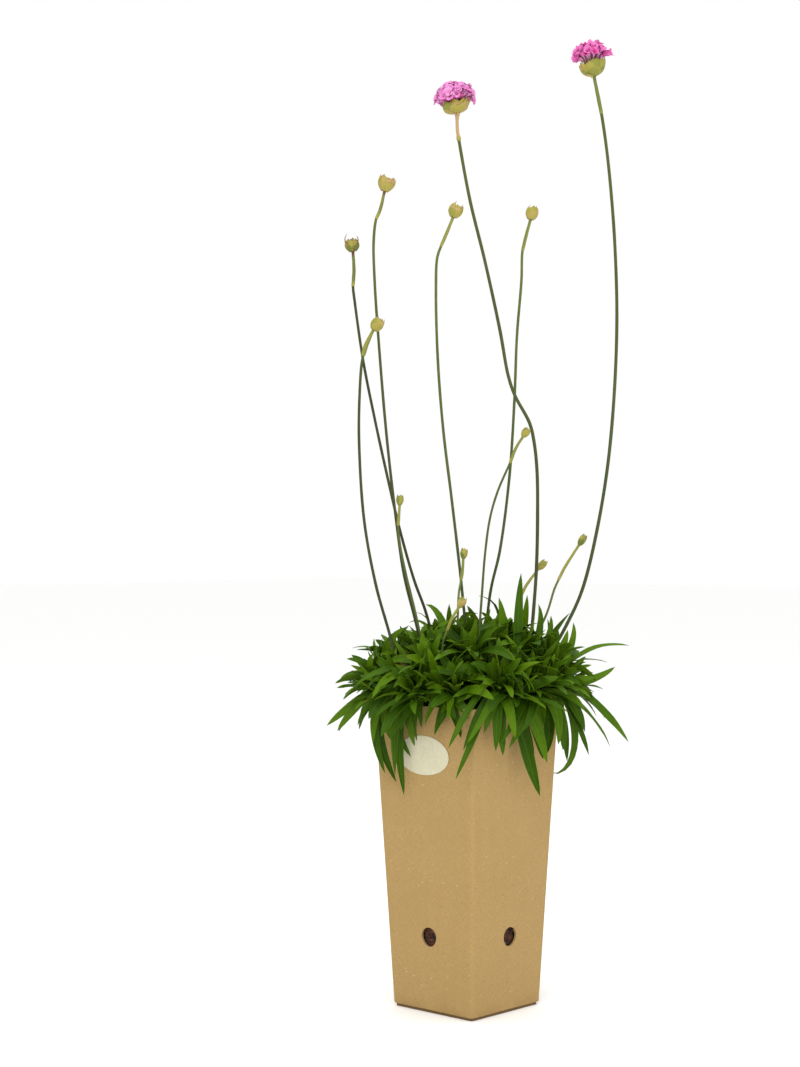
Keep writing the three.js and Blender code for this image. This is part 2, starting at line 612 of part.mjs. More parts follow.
// The dome of florets, whose middle is at the top of the cup
function floretsSolid(stalk, frame) {
  const cupFloor = OPEN_CUP.core.at(-1)[1] * frame.height;
  const seat = frame.base.clone().addScaledVector(frame.axis, cupFloor + GAP);
  const heart = frame.base.clone().addScaledVector(frame.axis, frame.height);
  const core = FLORET_CORE.map(([r, h]) => [r * stalk.dome, h * stalk.dome]);
  const solids = [turned(frame, seat, core, 8)];
  for (let i = 0; i < FLORETS; i += 1) {
    const rise = 1 - (i + 0.5) / FLORETS * (1 - LOWEST_FLORET);
    const level = Math.sqrt(1 - rise * rise);
    const out = around(frame, i * GOLDEN_TURN).multiplyScalar(level).addScaledVector(frame.axis, rise);
    const middle = heart.clone().addScaledVector(out, stalk.dome / 2 - FLORET_DEPTH);
    const root = heart.clone().lerp(middle, 0.5);
    solids.push(floretSolid(root, middle, out, stalk.dome * FLORET_RADIUS));
  }
  return fuse(solids);
}

// Leaves

function crownSolid(rosette) {
  const [across, towards] = rosette.foot;
  const base = HOLE_FLOOR + GAP;
  const top = rosette.crown;
  const profile = [[0, base], [CROWN_RADIUS, base], [CROWN_RADIUS * 0.85, top], [0, top + 2]];
  const geometry = new THREE.LatheGeometry(profile.map(([r, h]) => new THREE.Vector2(r, h)), CROWN_SIDES);
  const place = at(across, towards, 0);
  return toSolid(geometry.rotateX(Math.PI / 2).translate(place.x, place.y, 0));
}

// A leaf starts just inside its crown, on the side that it grows to
function leafRoot(rosette, side, height) {
  const root = at(rosette.foot[0], rosette.foot[1], rosette.crown - height);
  const level = side.clone().setZ(0).normalize();
  return root.addScaledVector(level, CROWN_RADIUS * LEAF_SEAT);
}

function knownLeaf(entry, attempt) {
  const [number, bendA, bendT, bendU, tipA, tipT, tipU, width, facing, lift] = entry;
  const rosette = ROSETTES[number - 1];
  const bend = at(bendA, bendT + ASIDE[attempt], bendU);
  const tip = at(tipA, tipT + ASIDE[attempt], tipU);
  const foot = at(rosette.foot[0], rosette.foot[1], 0);
  const age = THREE.MathUtils.clamp((YOUNG_TIP - tipU) / (YOUNG_TIP - OLD_TIP), 0, 1);
  const root = leafRoot(rosette, bend.clone().sub(foot), 1 + 7 * age);
  const lean = root.clone().lerp(bend, LEAN_SHARE).addScaledVector(UP, lift + LEAST_LIFT);
  const chord = tip.clone().sub(root).normalize();
  const turn = THREE.MathUtils.degToRad(facing);
  const face = UP.clone().multiplyScalar(Math.cos(turn)).addScaledVector(TOWARDS, Math.sin(turn));
  face.addScaledVector(chord, -face.dot(chord));
  const side = new THREE.Vector3().crossVectors(face, chord).normalize();
  return { root, lean, bend, tip, side, width, steps: lift < HIGH_LIFT ? BLADE_STEPS : HIGH_BLADE_STEPS };
}

// The leaf that the growth rule gives a crown: its leaves stand round it by the golden turn, the oldest
// lowest and most spread
function grownLeaf(number, index, attempt) {
  const rosette = ROSETTES[number - 1];
  const [across, towards] = rosette.foot;
  const age = 1 - (index + 0.5) / rosette.leaves;
  const chance = (what) => draw(number, index, attempt, what);
  const eitherWay = (what, spread) => (chance(what) - 0.5) * spread;
  const small = 1 - attempt * SMALLER_EACH_TRY;

  const turn = number * TURN_PER_ROSETTE + index * GOLDEN_TURN + eitherWay(1, TURN_SPREAD + attempt * 0.1);
  const side = at(Math.cos(turn), Math.sin(turn), 0);
  const outward = Math.cos(turn) * across + Math.sin(turn) * towards;
  const open = THREE.MathUtils.clamp(OPEN.inMiddle + outward * OPEN.perReach, OPEN.least, 1);

  const lean = LEAN.least + (LEAN.open + LEAN.old * age) * open + eitherWay(2, LEAN.spread + attempt);
  const droop = DROOP.least + DROOP.old * age * open + eitherWay(3, DROOP.spread);
  const ray = (angle) => {
    const radians = THREE.MathUtils.degToRad(angle);
    return side.clone().multiplyScalar(Math.sin(radians)).addScaledVector(UP, Math.cos(radians));
  };
  const ageLength = GROWN_LENGTH.young + (1 - GROWN_LENGTH.young) * age;
  const openLength = GROWN_LENGTH.shut + (1 - GROWN_LENGTH.shut) * open;
  const chanceLength = GROWN_LENGTH.least + GROWN_LENGTH.spread * chance(4);
  const length = rosette.reach * ageLength * openLength * chanceLength * small;

  const root = leafRoot(rosette, side, 1 + 6 * age);
  const leanPoint = root.clone().addScaledVector(ray(lean * 0.6), length * 0.36);
  const bend = leanPoint.clone().addScaledVector(ray(lean + droop * 0.35), length * 0.36);
  const tip = bend.clone().addScaledVector(ray(lean + droop), length * 0.34);
  const chord = tip.clone().sub(root).normalize();
  const level = new THREE.Vector3().crossVectors(UP, side).normalize();
  level.applyAxisAngle(chord, THREE.MathUtils.degToRad(eitherWay(6, ROLL_SPREAD)));
  const width = (GROWN_WIDTH.least + GROWN_WIDTH.spread * chance(5)) * small;
  return { root, lean: leanPoint, bend, tip, side: level, width, steps: SHORT_BLADE_STEPS, grown: true };
}

function boxesMeet(a, b) {
  return [0, 1, 2].every((k) => a.min[k] < b.max[k] && b.min[k] < a.max[k]);
}

function crossesAny(solid, others) {
  const box = solid.boundingBox();
  return others.some((other) => {
    if (!boxesMeet(box, other.box)) {
      return false;
    }
    const shared = solid.intersect(other.solid);
    const crosses = !shared.isEmpty();
    shared.delete();
    return crosses;
  });
}

function obstacle(owner, solid) {
  return { owner, solid, box: solid.boundingBox() };
}

// A leaf fits where all of it is clear of the other pieces, and a grown leaf's free part of its own rosette
function fits(leaf, number, obstacles) {
  const whole = bladeSolid(leaf, LEAF_SPARE);
  let blocked = crossesAny(whole, obstacles.filter((other) => other.owner !== number));
  whole.delete();
  if (!blocked && leaf.grown) {
    const free = bladeSolid({ ...leaf, steps: [FREE_FROM, ...leaf.steps.slice(1)] }, LEAF_SPARE);
    blocked = crossesAny(free, obstacles.filter((other) => other.owner === number));
    free.delete();
  }
  return !blocked;
}

// A rosette keeps a leaf only where its skin stays closed when points within MERGE of each other are one
function staysSealed(solid) {
  const corners = mergeVertices(toGeometry(solid).deleteAttribute('normal'), MERGE).index.array;
  const edges = new Set();
  for (let i = 0; i < corners.length; i += 3) {
    const [a, b, c] = corners.slice(i, i + 3);
    if (a === b || b === c || c === a) {
      continue;
    }
    for (const edge of [`${a} ${b}`, `${b} ${c}`, `${c} ${a}`]) {
      if (edges.has(edge)) {
        return false;
      }
      edges.add(edge);
    }
  }
  return true;
}

// Grows every leaf in turn and keeps the first try that fits between all that stands already
function growLeaves(obstacles) {
  const grown = ROSETTES.map((rosette) => crownSolid(rosette));
  grown.forEach((crown, i) => obstacles.push(obstacle(i + 1, crown)));
  const wanted = KNOWN_LEAVES
    .map((entry) => [entry[0], ASIDE.length, (attempt) => knownLeaf(entry, attempt)]);
  const rounds = Math.max(...ROSETTES.map((rosette) => rosette.leaves));
  for (let index = 0; index < rounds; index += 1) {
    for (let number = 1; number <= ROSETTES.length; number += 1) {
      if (index < ROSETTES[number - 1].leaves) {
        wanted.push([number, GROWN_TRIES, (attempt) => grownLeaf(number, index, attempt)]);
      }
    }
  }
  for (const [number, tries, leafOf] of wanted) {
    for (let attempt = 0; attempt < tries; attempt += 1) {
      const leaf = leafOf(attempt);
      if (!fits(leaf, number, obstacles)) {
        continue;
      }
      const solid = bladeSolid(leaf);
      const joined = grown[number - 1].add(solid);
      if (staysSealed(joined)) {
        grown[number - 1] = joined;
        obstacles.push(obstacle(number, solid));
        break;
      }
    }
  }
  return grown;
}

const pot = buildPot();
buildLabel();
const soil = buildSoil();
const obstacles = [obstacle('pot', pot), obstacle('soil', soil)];

for (const stalk of STALKS) {
  const frame = headFrame(stalk);
  const stem = stemSolid(stalk);
  addPiece(stalk.name, toGeometry(stem), STEM_GREEN, 0.6);
  obstacles.push(obstacle(stalk.name, stem));
  const open = stalk.florets !== undefined;
  const bracts = open
    ? headSolids(stalk, frame, OPEN_CUP, CUP_BRACTS)
    : headSolids(stalk, frame, CLOSED_BUD, stalk.size > BIG_BUD ? 5 : 3);
  const head = fuse([sheathSolid(stalk, frame), ...bracts]);
  addPiece(stalk.head, toGeometry(head), BRACT_YELLOW, 0.7);
  obstacles.push(obstacle(stalk.head, head));
  if (open) {
    addPiece(stalk.florets, toGeometry(floretsSolid(stalk, frame)), PETAL_PINK, 0.6);
  }
}

for (const bud of YOUNG_BUDS) {
  const curve = curveThrough([...stemPoints(bud), bud.middle]);
  const stem = toSolid(tube(curve, STEM_RADIUS, 5, 6));
  const solid = fuse([stem, ...headSolids(bud, headFrame(bud), CLOSED_BUD, 3)]);
  addPiece(bud.name, toGeometry(solid), BUD_GREEN, 0.7);
  obstacles.push(obstacle(bud.name, solid));
}

growLeaves(obstacles).forEach((rosette, i) => {
  addPiece(ROSETTES[i].name, toGeometry(oneBody(rosette)), LEAF_GREEN, 0.55);
});

export default plant;
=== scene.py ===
# %% [markdown]
# # A potted armeria
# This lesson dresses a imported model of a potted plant: a tall square pot of kraft board, dark peat, fifteen
# rosettes of narrow leaves and thirteen wiry stalks with papery buds and two round pink heads.
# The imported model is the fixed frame. It could be shown as it is, but its solids are coarse, so each one is
# replaced by a finer mesh that is worked out from the same sizes and stands in the same place.

# %% Load the fixed frame
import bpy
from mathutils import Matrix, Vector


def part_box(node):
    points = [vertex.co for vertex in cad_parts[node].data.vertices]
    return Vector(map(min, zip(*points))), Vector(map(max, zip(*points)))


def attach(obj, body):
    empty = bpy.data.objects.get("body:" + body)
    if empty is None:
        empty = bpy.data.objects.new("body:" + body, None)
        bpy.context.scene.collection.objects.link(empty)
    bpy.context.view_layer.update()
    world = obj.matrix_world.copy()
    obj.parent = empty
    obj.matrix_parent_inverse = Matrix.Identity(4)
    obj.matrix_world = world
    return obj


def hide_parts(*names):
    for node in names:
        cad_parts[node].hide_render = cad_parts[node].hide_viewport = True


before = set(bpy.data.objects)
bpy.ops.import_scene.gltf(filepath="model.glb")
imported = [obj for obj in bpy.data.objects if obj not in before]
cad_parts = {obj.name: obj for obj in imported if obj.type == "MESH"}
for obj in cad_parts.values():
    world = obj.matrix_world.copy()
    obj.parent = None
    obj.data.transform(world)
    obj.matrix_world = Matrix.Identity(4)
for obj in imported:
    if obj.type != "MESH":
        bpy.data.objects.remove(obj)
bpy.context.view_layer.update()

# %% Other modules
import math

import bpy
import numpy as np
from mathutils.kdtree import KDTree

# %% [markdown]
# ## Three directions
# A plant is easiest to lay out as someone sees it. The viewer looks at the pot's corner between the side
# with the label and the side to its right, so places are given across the view, towards the viewer and up,
# in millimetres. One function turns them into the frame's own axes, and the mesh maker turns millimetres
# into metres at the very end.

# %% Layout
MM = 0.001
CORNER_TURN = math.radians(42.9)
ACROSS = np.array([math.cos(CORNER_TURN), math.sin(CORNER_TURN), 0.0])
TOWARDS = np.array([math.sin(CORNER_TURN), -math.cos(CORNER_TURN), 0.0])
UP = np.array([0.0, 0.0, 1.0])
GOLDEN_TURN = math.radians(137.508)


def at(across, towards, up):
    return across * ACROSS + towards * TOWARDS + up * UP


def unit(vector):
    return vector / max(np.linalg.norm(vector), 1e-12)


def clamp(value, low, high):
    return min(max(value, low), high)


print("towards the viewer:", TOWARDS.round(3))

# %% [markdown]
# ## Chance that never changes
# Leaves, petals and crumbs need small differences from one to the next. A random module would do, but its
# draws depend on the order in which they are made. A little hash gives each question its own answer, and
# it is the same arithmetic that placed the leaves of the solid model, so both agree leaf by leaf.

# %% A number from 0 to 1 for any whole-number keys
SEED = 20251


def draw(*keys):
    mix = SEED
    for key in keys:
        mix = ((mix ^ (key + 40503)) * 0x85EBCA6B) & 0xFFFFFFFF
        mix ^= mix >> 13
        mix = (mix * 0xC2B2AE35) & 0xFFFFFFFF
        mix ^= mix >> 16
    return mix / 4294967296


def between(low, high, *keys):
    return low + (high - low) * draw(*keys)


print("first draws:", [round(draw(1, i), 3) for i in range(4)])

# %% [markdown]
# ## Camera
# The photograph looks level at the plant from about 1.3 m away, from a height of 311 mm, a little to the
# left of the pot. Such a level view keeps the stalks and the pot's edges upright. The lens comes from the
# size of the pot in the picture: 2027 pixels of focal length on a picture 1067 pixels high.

# %% Camera at the photograph's viewing angle
CAMERA_PLACE = (-44, 1338, 311)
FOCAL_PIXELS = 2027
PICTURE_HEIGHT = 1067
SENSOR = 36

camera_data = bpy.data.cameras.new("camera")
camera_data.sensor_fit = "VERTICAL"
camera_data.sensor_height = SENSOR
camera_data.lens = FOCAL_PIXELS / PICTURE_HEIGHT * SENSOR
camera = bpy.data.objects.new("camera", camera_data)
bpy.context.scene.collection.objects.link(camera)
camera.location = at(*CAMERA_PLACE) * MM
camera.rotation_euler = (math.pi / 2, 0, CORNER_TURN)
bpy.context.scene.camera = camera
print("lens", round(camera_data.lens, 2), "mm")

# %% [markdown]
# ## Floor and light
# The plant stands in a bright studio, where nearly everything behind it is white. A wide pale floor and a
# pale world give that, and the shadows stay soft because the lamps are large. The floor could be a curved
# backdrop, but the plant is also seen from behind, where such a wall would stand in the way.

# %% Floor
FLOOR_HALF = 9.0


def paint(code):
    """A colour written as six hex digits, in the linear values that shaders use."""
    parts = [int(code[i:i + 2], 16) / 255 for i in (0, 2, 4)]
    return [c / 12.92 if c <= 0.04045 else ((c + 0.055) / 1.055) ** 2.4 for c in parts] + [1.0]


def link_mesh(name, points, faces):
    mesh = bpy.data.meshes.new(name)
    mesh.from_pydata([tuple(p) for p in points], [], faces)
    mesh.validate()
    piece = bpy.data.objects.new(name, mesh)
    bpy.context.scene.collection.objects.link(piece)
    return piece


corners = [(x * FLOOR_HALF, y * FLOOR_HALF, 0) for x, y in ((-1, -1), (1, -1), (1, 1), (-1, 1))]
floor = link_mesh("floor", corners, [(0, 1, 2, 3)])
floor_material = bpy.data.materials.new("floor")
floor_material.use_nodes = True
floor_shader = floor_material.node_tree.nodes["Principled BSDF"]
floor_shader.inputs["Base Color"].default_value = paint("fdfdfc")
floor_shader.inputs["Roughness"].default_value = 0.9
floor.data.materials.append(floor_material)
print("floor:", 2 * FLOOR_HALF, "m wide")

# %% Light
world = bpy.data.worlds.new("studio")
world.use_nodes = True
world.node_tree.nodes["Background"].inputs["Color"].default_value = paint("ffffff")
world.node_tree.nodes["Background"].inputs["Strength"].default_value = 1.0
bpy.context.scene.world = world
bpy.context.scene.view_settings.view_transform = "Standard"

LAMPS = [
    {"name": "key", "place": (-350, 1500, 1500), "size": 1.1, "power": 17},
    {"name": "fill", "place": (1100, 900, 700), "size": 1.4, "power": 3.5},
    {"name": "top", "place": (100, -300, 1900), "size": 1.2, "power": 6},
]
LAMP_TARGET = (0, 0, 260)


def aim(lamp, place, target):
    lamp.location = place * MM
    away = unit(place - target)
    lamp.rotation_euler = (math.acos(away[2]), 0, math.atan2(away[1], away[0]) + math.pi / 2)


for spec in LAMPS:
    data = bpy.data.lights.new(spec["name"], "AREA")
    data.size = spec["size"]
    data.energy = spec["power"]
    lamp = bpy.data.objects.new(spec["name"], data)
    bpy.context.scene.collection.objects.link(lamp)
    aim(lamp, at(*spec["place"]), at(*LAMP_TARGET))
print("lamps:", [spec["name"] for spec in LAMPS])

# %% [markdown]
# ## A mesh maker
# Nearly everything on this plant is a thin shell: a leaf, a bract, a petal. Each could be a flat card, but
# a card has no edge and no inside. So a shell is made of two grids of points, an outer and an inner face,
# that are sewn together round their borders into one closed body. A form gathers many such bodies into one
# mesh, and keeps two groups of three numbers for every point, which the materials read later:
# spot is where the point lies on its shell, and look says what kind of surface it is.

# %% Forms
SHARP_ANGLE = math.radians(55)


class Form:
    """Bodies in millimetres that become one mesh."""

    def __init__(self):
        self.points = []
        self.faces = []
        self.spots = []
        self.looks = []
        self.count = 0

    def add(self, points, faces, spot, look):
        points = np.asarray(points, float).reshape(-1, 3)
        self.points.append(points)
        self.spots.append(np.broadcast_to(np.asarray(spot, float).reshape(-1, 3), points.shape))
        self.looks.append(np.broadcast_to(np.asarray(look, float).reshape(-1, 3), points.shape))
        start = self.count
        self.faces.extend(tuple(start + int(i) for i in face) for face in faces)
        self.count += len(points)

    def shell(self, outer, inner, spot, look_out, look_in):
        """Two grids of points, sewn together round their borders."""
        rows, columns = outer.shape[:2]
        index = np.arange(rows * columns).reshape(rows, columns)
        under = index + rows * columns
        faces = []
        for i in range(rows - 1):
            for j in range(columns - 1):
                faces.append((index[i, j], index[i, j + 1], index[i + 1, j + 1], index[i + 1, j]))
                faces.append((under[i, j], under[i + 1, j], under[i + 1, j + 1], under[i, j + 1]))
        for i in range(rows - 1):
            faces.append((index[i, 0], index[i + 1, 0], under[i + 1, 0], under[i, 0]))
            faces.append((index[i + 1, -1], index[i, -1], under[i, -1], under[i + 1, -1]))
        for j in range(columns - 1):
            faces.append((index[0, j + 1], index[0, j], under[0, j], under[0, j + 1]))
            faces.append((index[-1, j], index[-1, j + 1], under[-1, j + 1], under[-1, j]))
        spots = np.concatenate([spot.reshape(-1, 3)] * 2)
        looks = np.concatenate([np.broadcast_to(look, (rows * columns, 3)) for look in (look_out, look_in)])
        self.add(np.concatenate([outer.reshape(-1, 3), inner.reshape(-1, 3)]), faces, spots, looks)

    def build(self, name, material, slot, *nodes):
        piece = link_mesh(name, np.concatenate(self.points) * MM, self.faces)
        mesh = piece.data
        for field, rows in (("spot", self.spots), ("look", self.looks)):
            attribute = mesh.attributes.new(field, "FLOAT_VECTOR", "POINT")
            attribute.data.foreach_set("vector", np.concatenate(rows).astype(np.float32).ravel())
        mesh.polygons.foreach_set("use_smooth", [True] * len(mesh.polygons))
        mesh.set_sharp_from_angle(angle=SHARP_ANGLE)
        mesh.materials.append(material)
        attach(piece, "root")
        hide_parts(*nodes)
        return piece


print("edges stay sharp above", round(math.degrees(SHARP_ANGLE)), "degrees")

# %% [markdown]
# ## Curves
# A stalk is drawn through a few given points. The solid model runs a centripetal
# Catmull-Rom curve through them, which doesn't overshoot where points lie close together, so the same
# curve is worked out here. A leaf needs less: one cubic Bezier from its root to its tip.

# %% Curves and tubes
def catmull_rom(points, spacing):
    """Points about every spacing mm along a centripetal Catmull-Rom curve."""
    points = [np.asarray(p, float) for p in points]
    ends = [2 * points[0] - points[1], *points, 2 * points[-1] - points[-2]]
    path = []
    for p0, p1, p2, p3 in zip(ends, ends[1:], ends[2:], ends[3:]):
        d0, d1, d2 = (max(np.linalg.norm(b - a) ** 0.5, 1e-4) for a, b in ((p0, p1), (p1, p2), (p2, p3)))
        out1 = ((p1 - p0) / d0 - (p2 - p0) / (d0 + d1) + (p2 - p1) / d1) * d1
        out2 = ((p2 - p1) / d1 - (p3 - p1) / (d1 + d2) + (p3 - p2) / d2) * d1
        steps = max(2, round(np.linalg.norm(p2 - p1) / spacing))
        for t in np.arange(steps) / steps:
            a = 2 * t ** 3 - 3 * t ** 2 + 1
            b = t ** 3 - 2 * t ** 2 + t
            c = -2 * t ** 3 + 3 * t ** 2
            d = t ** 3 - t ** 2
            path.append(a * p1 + b * out1 + c * p2 + d * out2)
    path.append(points[-1])
    return np.array(path)


def bezier(p0, p1, p2, p3, t):
    """Points and directions along a cubic Bezier at the shares t of its run."""
    t = np.asarray(t)[:, None]
    place = (1 - t) ** 3 * p0 + 3 * t * (1 - t) ** 2 * p1 + 3 * t * t * (1 - t) * p2 + t ** 3 * p3
    run = 3 * (1 - t) ** 2 * (p1 - p0) + 6 * t * (1 - t) * (p2 - p1) + 3 * t * t * (p3 - p2)
    return place, run / np.linalg.norm(run, axis=1)[:, None]


def ring_faces(rings, sides):
    """Faces of a closed body of rings of points, capped at both ends."""
    faces = [tuple(range(sides))[::-1], tuple(range((rings - 1) * sides, rings * sides))]
    for i in range(rings - 1):
        for k in range(sides):
            here = i * sides + k
            beside = i * sides + (k + 1) % sides
            faces.append((here, beside, beside + sides, here + sides))
    return faces


def add_tube(form, path, radii, sides, look, seed=0.0, looks=None):
    """A closed round tube along a path. looks gives each ring its own look."""
    path = np.asarray(path, float)
    rings = len(path)
    runs = np.gradient(path, axis=0)
    normal = unit(np.cross(runs[0], [0.3, 0.8, 0.52]))
    points = []
    spots = []
    for i, (place, run) in enumerate(zip(path, runs)):
        run = unit(run)
        normal = unit(normal - run * normal.dot(run))
        second = np.cross(run, normal)
        for k in range(sides):
            turn = 2 * math.pi * k / sides
            points.append(place + radii[i] * (math.cos(turn) * normal + math.sin(turn) * second))
            spots.append((k / sides, i / (rings - 1), seed))
    if looks is not None:
        look = np.repeat(np.asarray(looks, float), sides, axis=0)
    form.add(points, ring_faces(rings, sides), spots, look)


print("faces of a tube with 4 rings and 8 sides:", len(ring_faces(4, 8)))

# %% [markdown]
# ## Shared effects for the materials
# Two effects come back in several materials, so each is a node group with named sockets. The first is
# mottle: two noises of different size that lighten and darken a surface a little. The second is streaks:
# noise that is stretched along one direction, which makes fibres in board and veins along a leaf. Both
# put out a mask only, and each material decides what to do with it.

# %% Node helpers
def new_group(name, inputs, outputs):
    tree = bpy.data.node_groups.new(name, "ShaderNodeTree")
    for socket, kind, value in inputs:
        made = tree.interface.new_socket(socket, in_out="INPUT", socket_type=kind)
        if value is not None:
            made.default_value = value
    for socket in outputs:
        tree.interface.new_socket(socket, in_out="OUTPUT", socket_type="NodeSocketFloat")
    return tree, tree.nodes.new("NodeGroupInput"), tree.nodes.new("NodeGroupOutput")


def put(tree, kind, links=(), **values):
    """A node with its plain settings, and links as (input, output socket)."""
    node = tree.nodes.new(kind)
    for name, value in values.items():
        setattr(node, name, value)
    for name, source in links:
        if isinstance(source, bpy.types.NodeSocket):
            tree.links.new(source, node.inputs[name])
        else:
            node.inputs[name].default_value = source
    return node


def math_node(tree, operation, first, second=0.0, third=0.0):
    return put(tree, "ShaderNodeMath", [(0, first), (1, second), (2, third)], operation=operation).outputs[0]


def mix_colour(tree, factor, first, second):
    return put(tree, "ShaderNodeMix", [(0, factor), (6, first), (7, second)], data_type="RGBA").outputs[2]


def over(tree, base, mask, code, share=None):
    """A base colour with paint over it where the mask says so, at a share of the mask's strength."""
    factor = mask if share is None else math_node(tree, "MULTIPLY", mask, share)
    return mix_colour(tree, factor, base, paint(code))


def ramp(tree, factor, low, high):
    """A mask that rises smoothly from 0 at low to 1 at high."""
    node = put(tree, "ShaderNodeMapRange", [("Value", factor), ("From Min", low), ("From Max", high)],
               interpolation_type="SMOOTHSTEP")
    return node.outputs["Result"]


print("brown paint as linear values:", [round(c, 3) for c in paint("987944")])

# %% Two shared groups
def make_mottle():
    inputs = [("Scale", "NodeSocketFloat", 120.0), ("Detail", "NodeSocketFloat", 3.0)]
    tree, given, result = new_group("mottle", inputs, ["Mask"])
    place = put(tree, "ShaderNodeTexCoord").outputs["Object"]
    fine = put(tree, "ShaderNodeTexNoise", [("Vector", place), ("Scale", given.outputs["Scale"]),
                                            ("Detail", given.outputs["Detail"])])
    wide_scale = math_node(tree, "MULTIPLY", given.outputs["Scale"], 0.17)
    wide = put(tree, "ShaderNodeTexNoise", [("Vector", place), ("Scale", wide_scale), ("Detail", 2.0)])
    total = math_node(tree, "ADD", fine.outputs["Fac"], wide.outputs["Fac"])
    tree.links.new(math_node(tree, "MULTIPLY", total, 0.5), result.inputs["Mask"])
    return tree


def make_streaks():
    inputs = [("Vector", "NodeSocketVector", None), ("Across", "NodeSocketFloat", 400.0),
              ("Along", "NodeSocketFloat", 30.0)]
    tree, given, result = new_group("streaks", inputs, ["Mask"])
    split = put(tree, "ShaderNodeSeparateXYZ", [("Vector", given.outputs["Vector"])])
    wide = math_node(tree, "MULTIPLY", split.outputs["X"], given.outputs["Across"])
    long = math_node(tree, "MULTIPLY", split.outputs["Y"], given.outputs["Along"])
    placed = put(tree, "ShaderNodeCombineXYZ", [("X", wide), ("Y", long), ("Z", split.outputs["Z"])])
    noise = put(tree, "ShaderNodeTexNoise", [("Vector", placed.outputs[0]), ("Scale", 1.0), ("Detail", 3.0)])
    tree.links.new(noise.outputs["Fac"], result.inputs["Mask"])
    return tree


MOTTLE = make_mottle()
STREAKS = make_streaks()
print("shared groups:", MOTTLE.name, STREAKS.name)


def mottle(tree, scale, detail=3.0):
    links = [("Scale", scale), ("Detail", detail)]
    return put(tree, "ShaderNodeGroup", links, node_tree=MOTTLE).outputs["Mask"]


def streaks(tree, vector, across, along):
    links = [("Vector", vector), ("Across", across), ("Along", along)]
    return put(tree, "ShaderNodeGroup", links, node_tree=STREAKS).outputs["Mask"]

# %% Start and finish of a material
def new_material(name, roughness, **fixed):
    material = bpy.data.materials.new(name)
    material.use_nodes = True
    shader = material.node_tree.nodes["Principled BSDF"]
    shader.inputs["Roughness"].default_value = roughness
    for socket, value in fixed.items():
        shader.inputs[socket.replace("_", " ")].default_value = value
    return material, material.node_tree


def read_field(tree, field):
    vector = put(tree, "ShaderNodeAttribute", attribute_name=field).outputs["Vector"]
    return vector, put(tree, "ShaderNodeSeparateXYZ", [("Vector", vector)]).outputs


def sheet_material(name, roughness, **fixed):
    """A new material, with a point's spot as one vector, its spot in parts and its look in parts."""
    material, tree = new_material(name, roughness, **fixed)
    return material, tree, *read_field(tree, "spot"), read_field(tree, "look")[1]


def finish_material(material, colour, height, strength, distance):
    """Give a material its colour and its relief, whose distance is in metres."""
    tree = material.node_tree
    shader = tree.nodes["Principled BSDF"]
    bump = put(tree, "ShaderNodeBump", [("Height", height), ("Strength", strength), ("Distance", distance)])
    tree.links.new(colour, shader.inputs["Base Color"])
    tree.links.new(bump.outputs["Normal"], shader.inputs["Normal"])
    return material

# %% [markdown]
# ## The pot
# The real pot is folded from thick kraft board: four flat sides that lean outwards, soft creases at the
# corners, an open rim that shows the board's edge, and a base that sits a little inside. It could be four
# boxes, but the sides of a filled paper pot swell slightly, and they meet in one sheet. So it is lofted
# through rounded square rings, up the outside, over the rim and down the inside, and the round drainage
# holes are cut afterwards.

# %% Sizes of the pot, from the frame
pot_low, pot_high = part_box("pot")
POT_HEIGHT = pot_high.z / MM
POT_TOP_SIDE = (pot_high.x - pot_low.x) / MM
POT_BOTTOM_SIDE = 68.7
BOARD = 1.4
BASE_INSET = 1.5
BASE_REVEAL = 2
BASE_TOP = 3.4
CORNER_RADIUS = 2.5
CORNER_STEPS = 6
SIDE_STEPS = 22
SIDE_SWELL = 0.5
CREASE_ANGLE = math.radians(35)
# Height in mm up to which the board is darkened as painted shade in the recess under the sides
BASE_SHADE_TOP = 2.2
SIDE_HOLE_RADIUS = 6.25
SIDE_HOLE_HEIGHT = 50
HOLE_SIDES = 40
SIDE_SLOPE = (POT_TOP_SIDE - POT_BOTTOM_SIDE) / 2 / POT_HEIGHT
WALL_RINGS = 26
RIM_ROUNDING = 0.3


def half_side(height):
    return POT_BOTTOM_SIDE / 2 + SIDE_SLOPE * height


def swell(along, height, half):
    """How far a side bows out: most at the middle of the side, not at all at its creases, rim and base."""
    share = clamp(along / half, -1, 1)
    return SIDE_SWELL * (1 - share ** 2) ** 2 * math.sin(math.pi * clamp(height / POT_HEIGHT, 0, 1)) ** 0.7


def square_ring(height, inset, bowed=True):
    """Points of a rounded square at a height, corner by corner."""
    half = half_side(height) - inset
    radius = max(CORNER_RADIUS - inset, 0.8)
    ring = []
    for quarter in range(4):
        corner_turn = quarter * math.pi / 2
        for k in range(CORNER_STEPS + 1):
            turn = corner_turn + k / CORNER_STEPS * math.pi / 2
            middle = (half - radius) * math.sqrt(2)
            x = middle * math.cos(corner_turn + math.pi / 4) + radius * math.cos(turn)
            y = middle * math.sin(corner_turn + math.pi / 4) + radius * math.sin(turn)
            ring.append((x, y))
        far_turn = corner_turn + math.pi / 2
        outward = np.array([math.cos(far_turn), math.sin(far_turn)])
        sideways = np.array([-outward[1], outward[0]])
        for k in range(1, SIDE_STEPS):
            along = (half - radius) * (2 * k / SIDE_STEPS - 1)
            bow = swell(along, height, half) if bowed else 0
            ring.append(tuple(outward * (half + bow) + sideways * along))
    return [(x, y, height) for x, y in ring]


def loft(rings):
    """Points and faces of a closed body through rings of equally many points."""
    return [p for ring in rings for p in ring], ring_faces(len(rings), len(rings[0]))


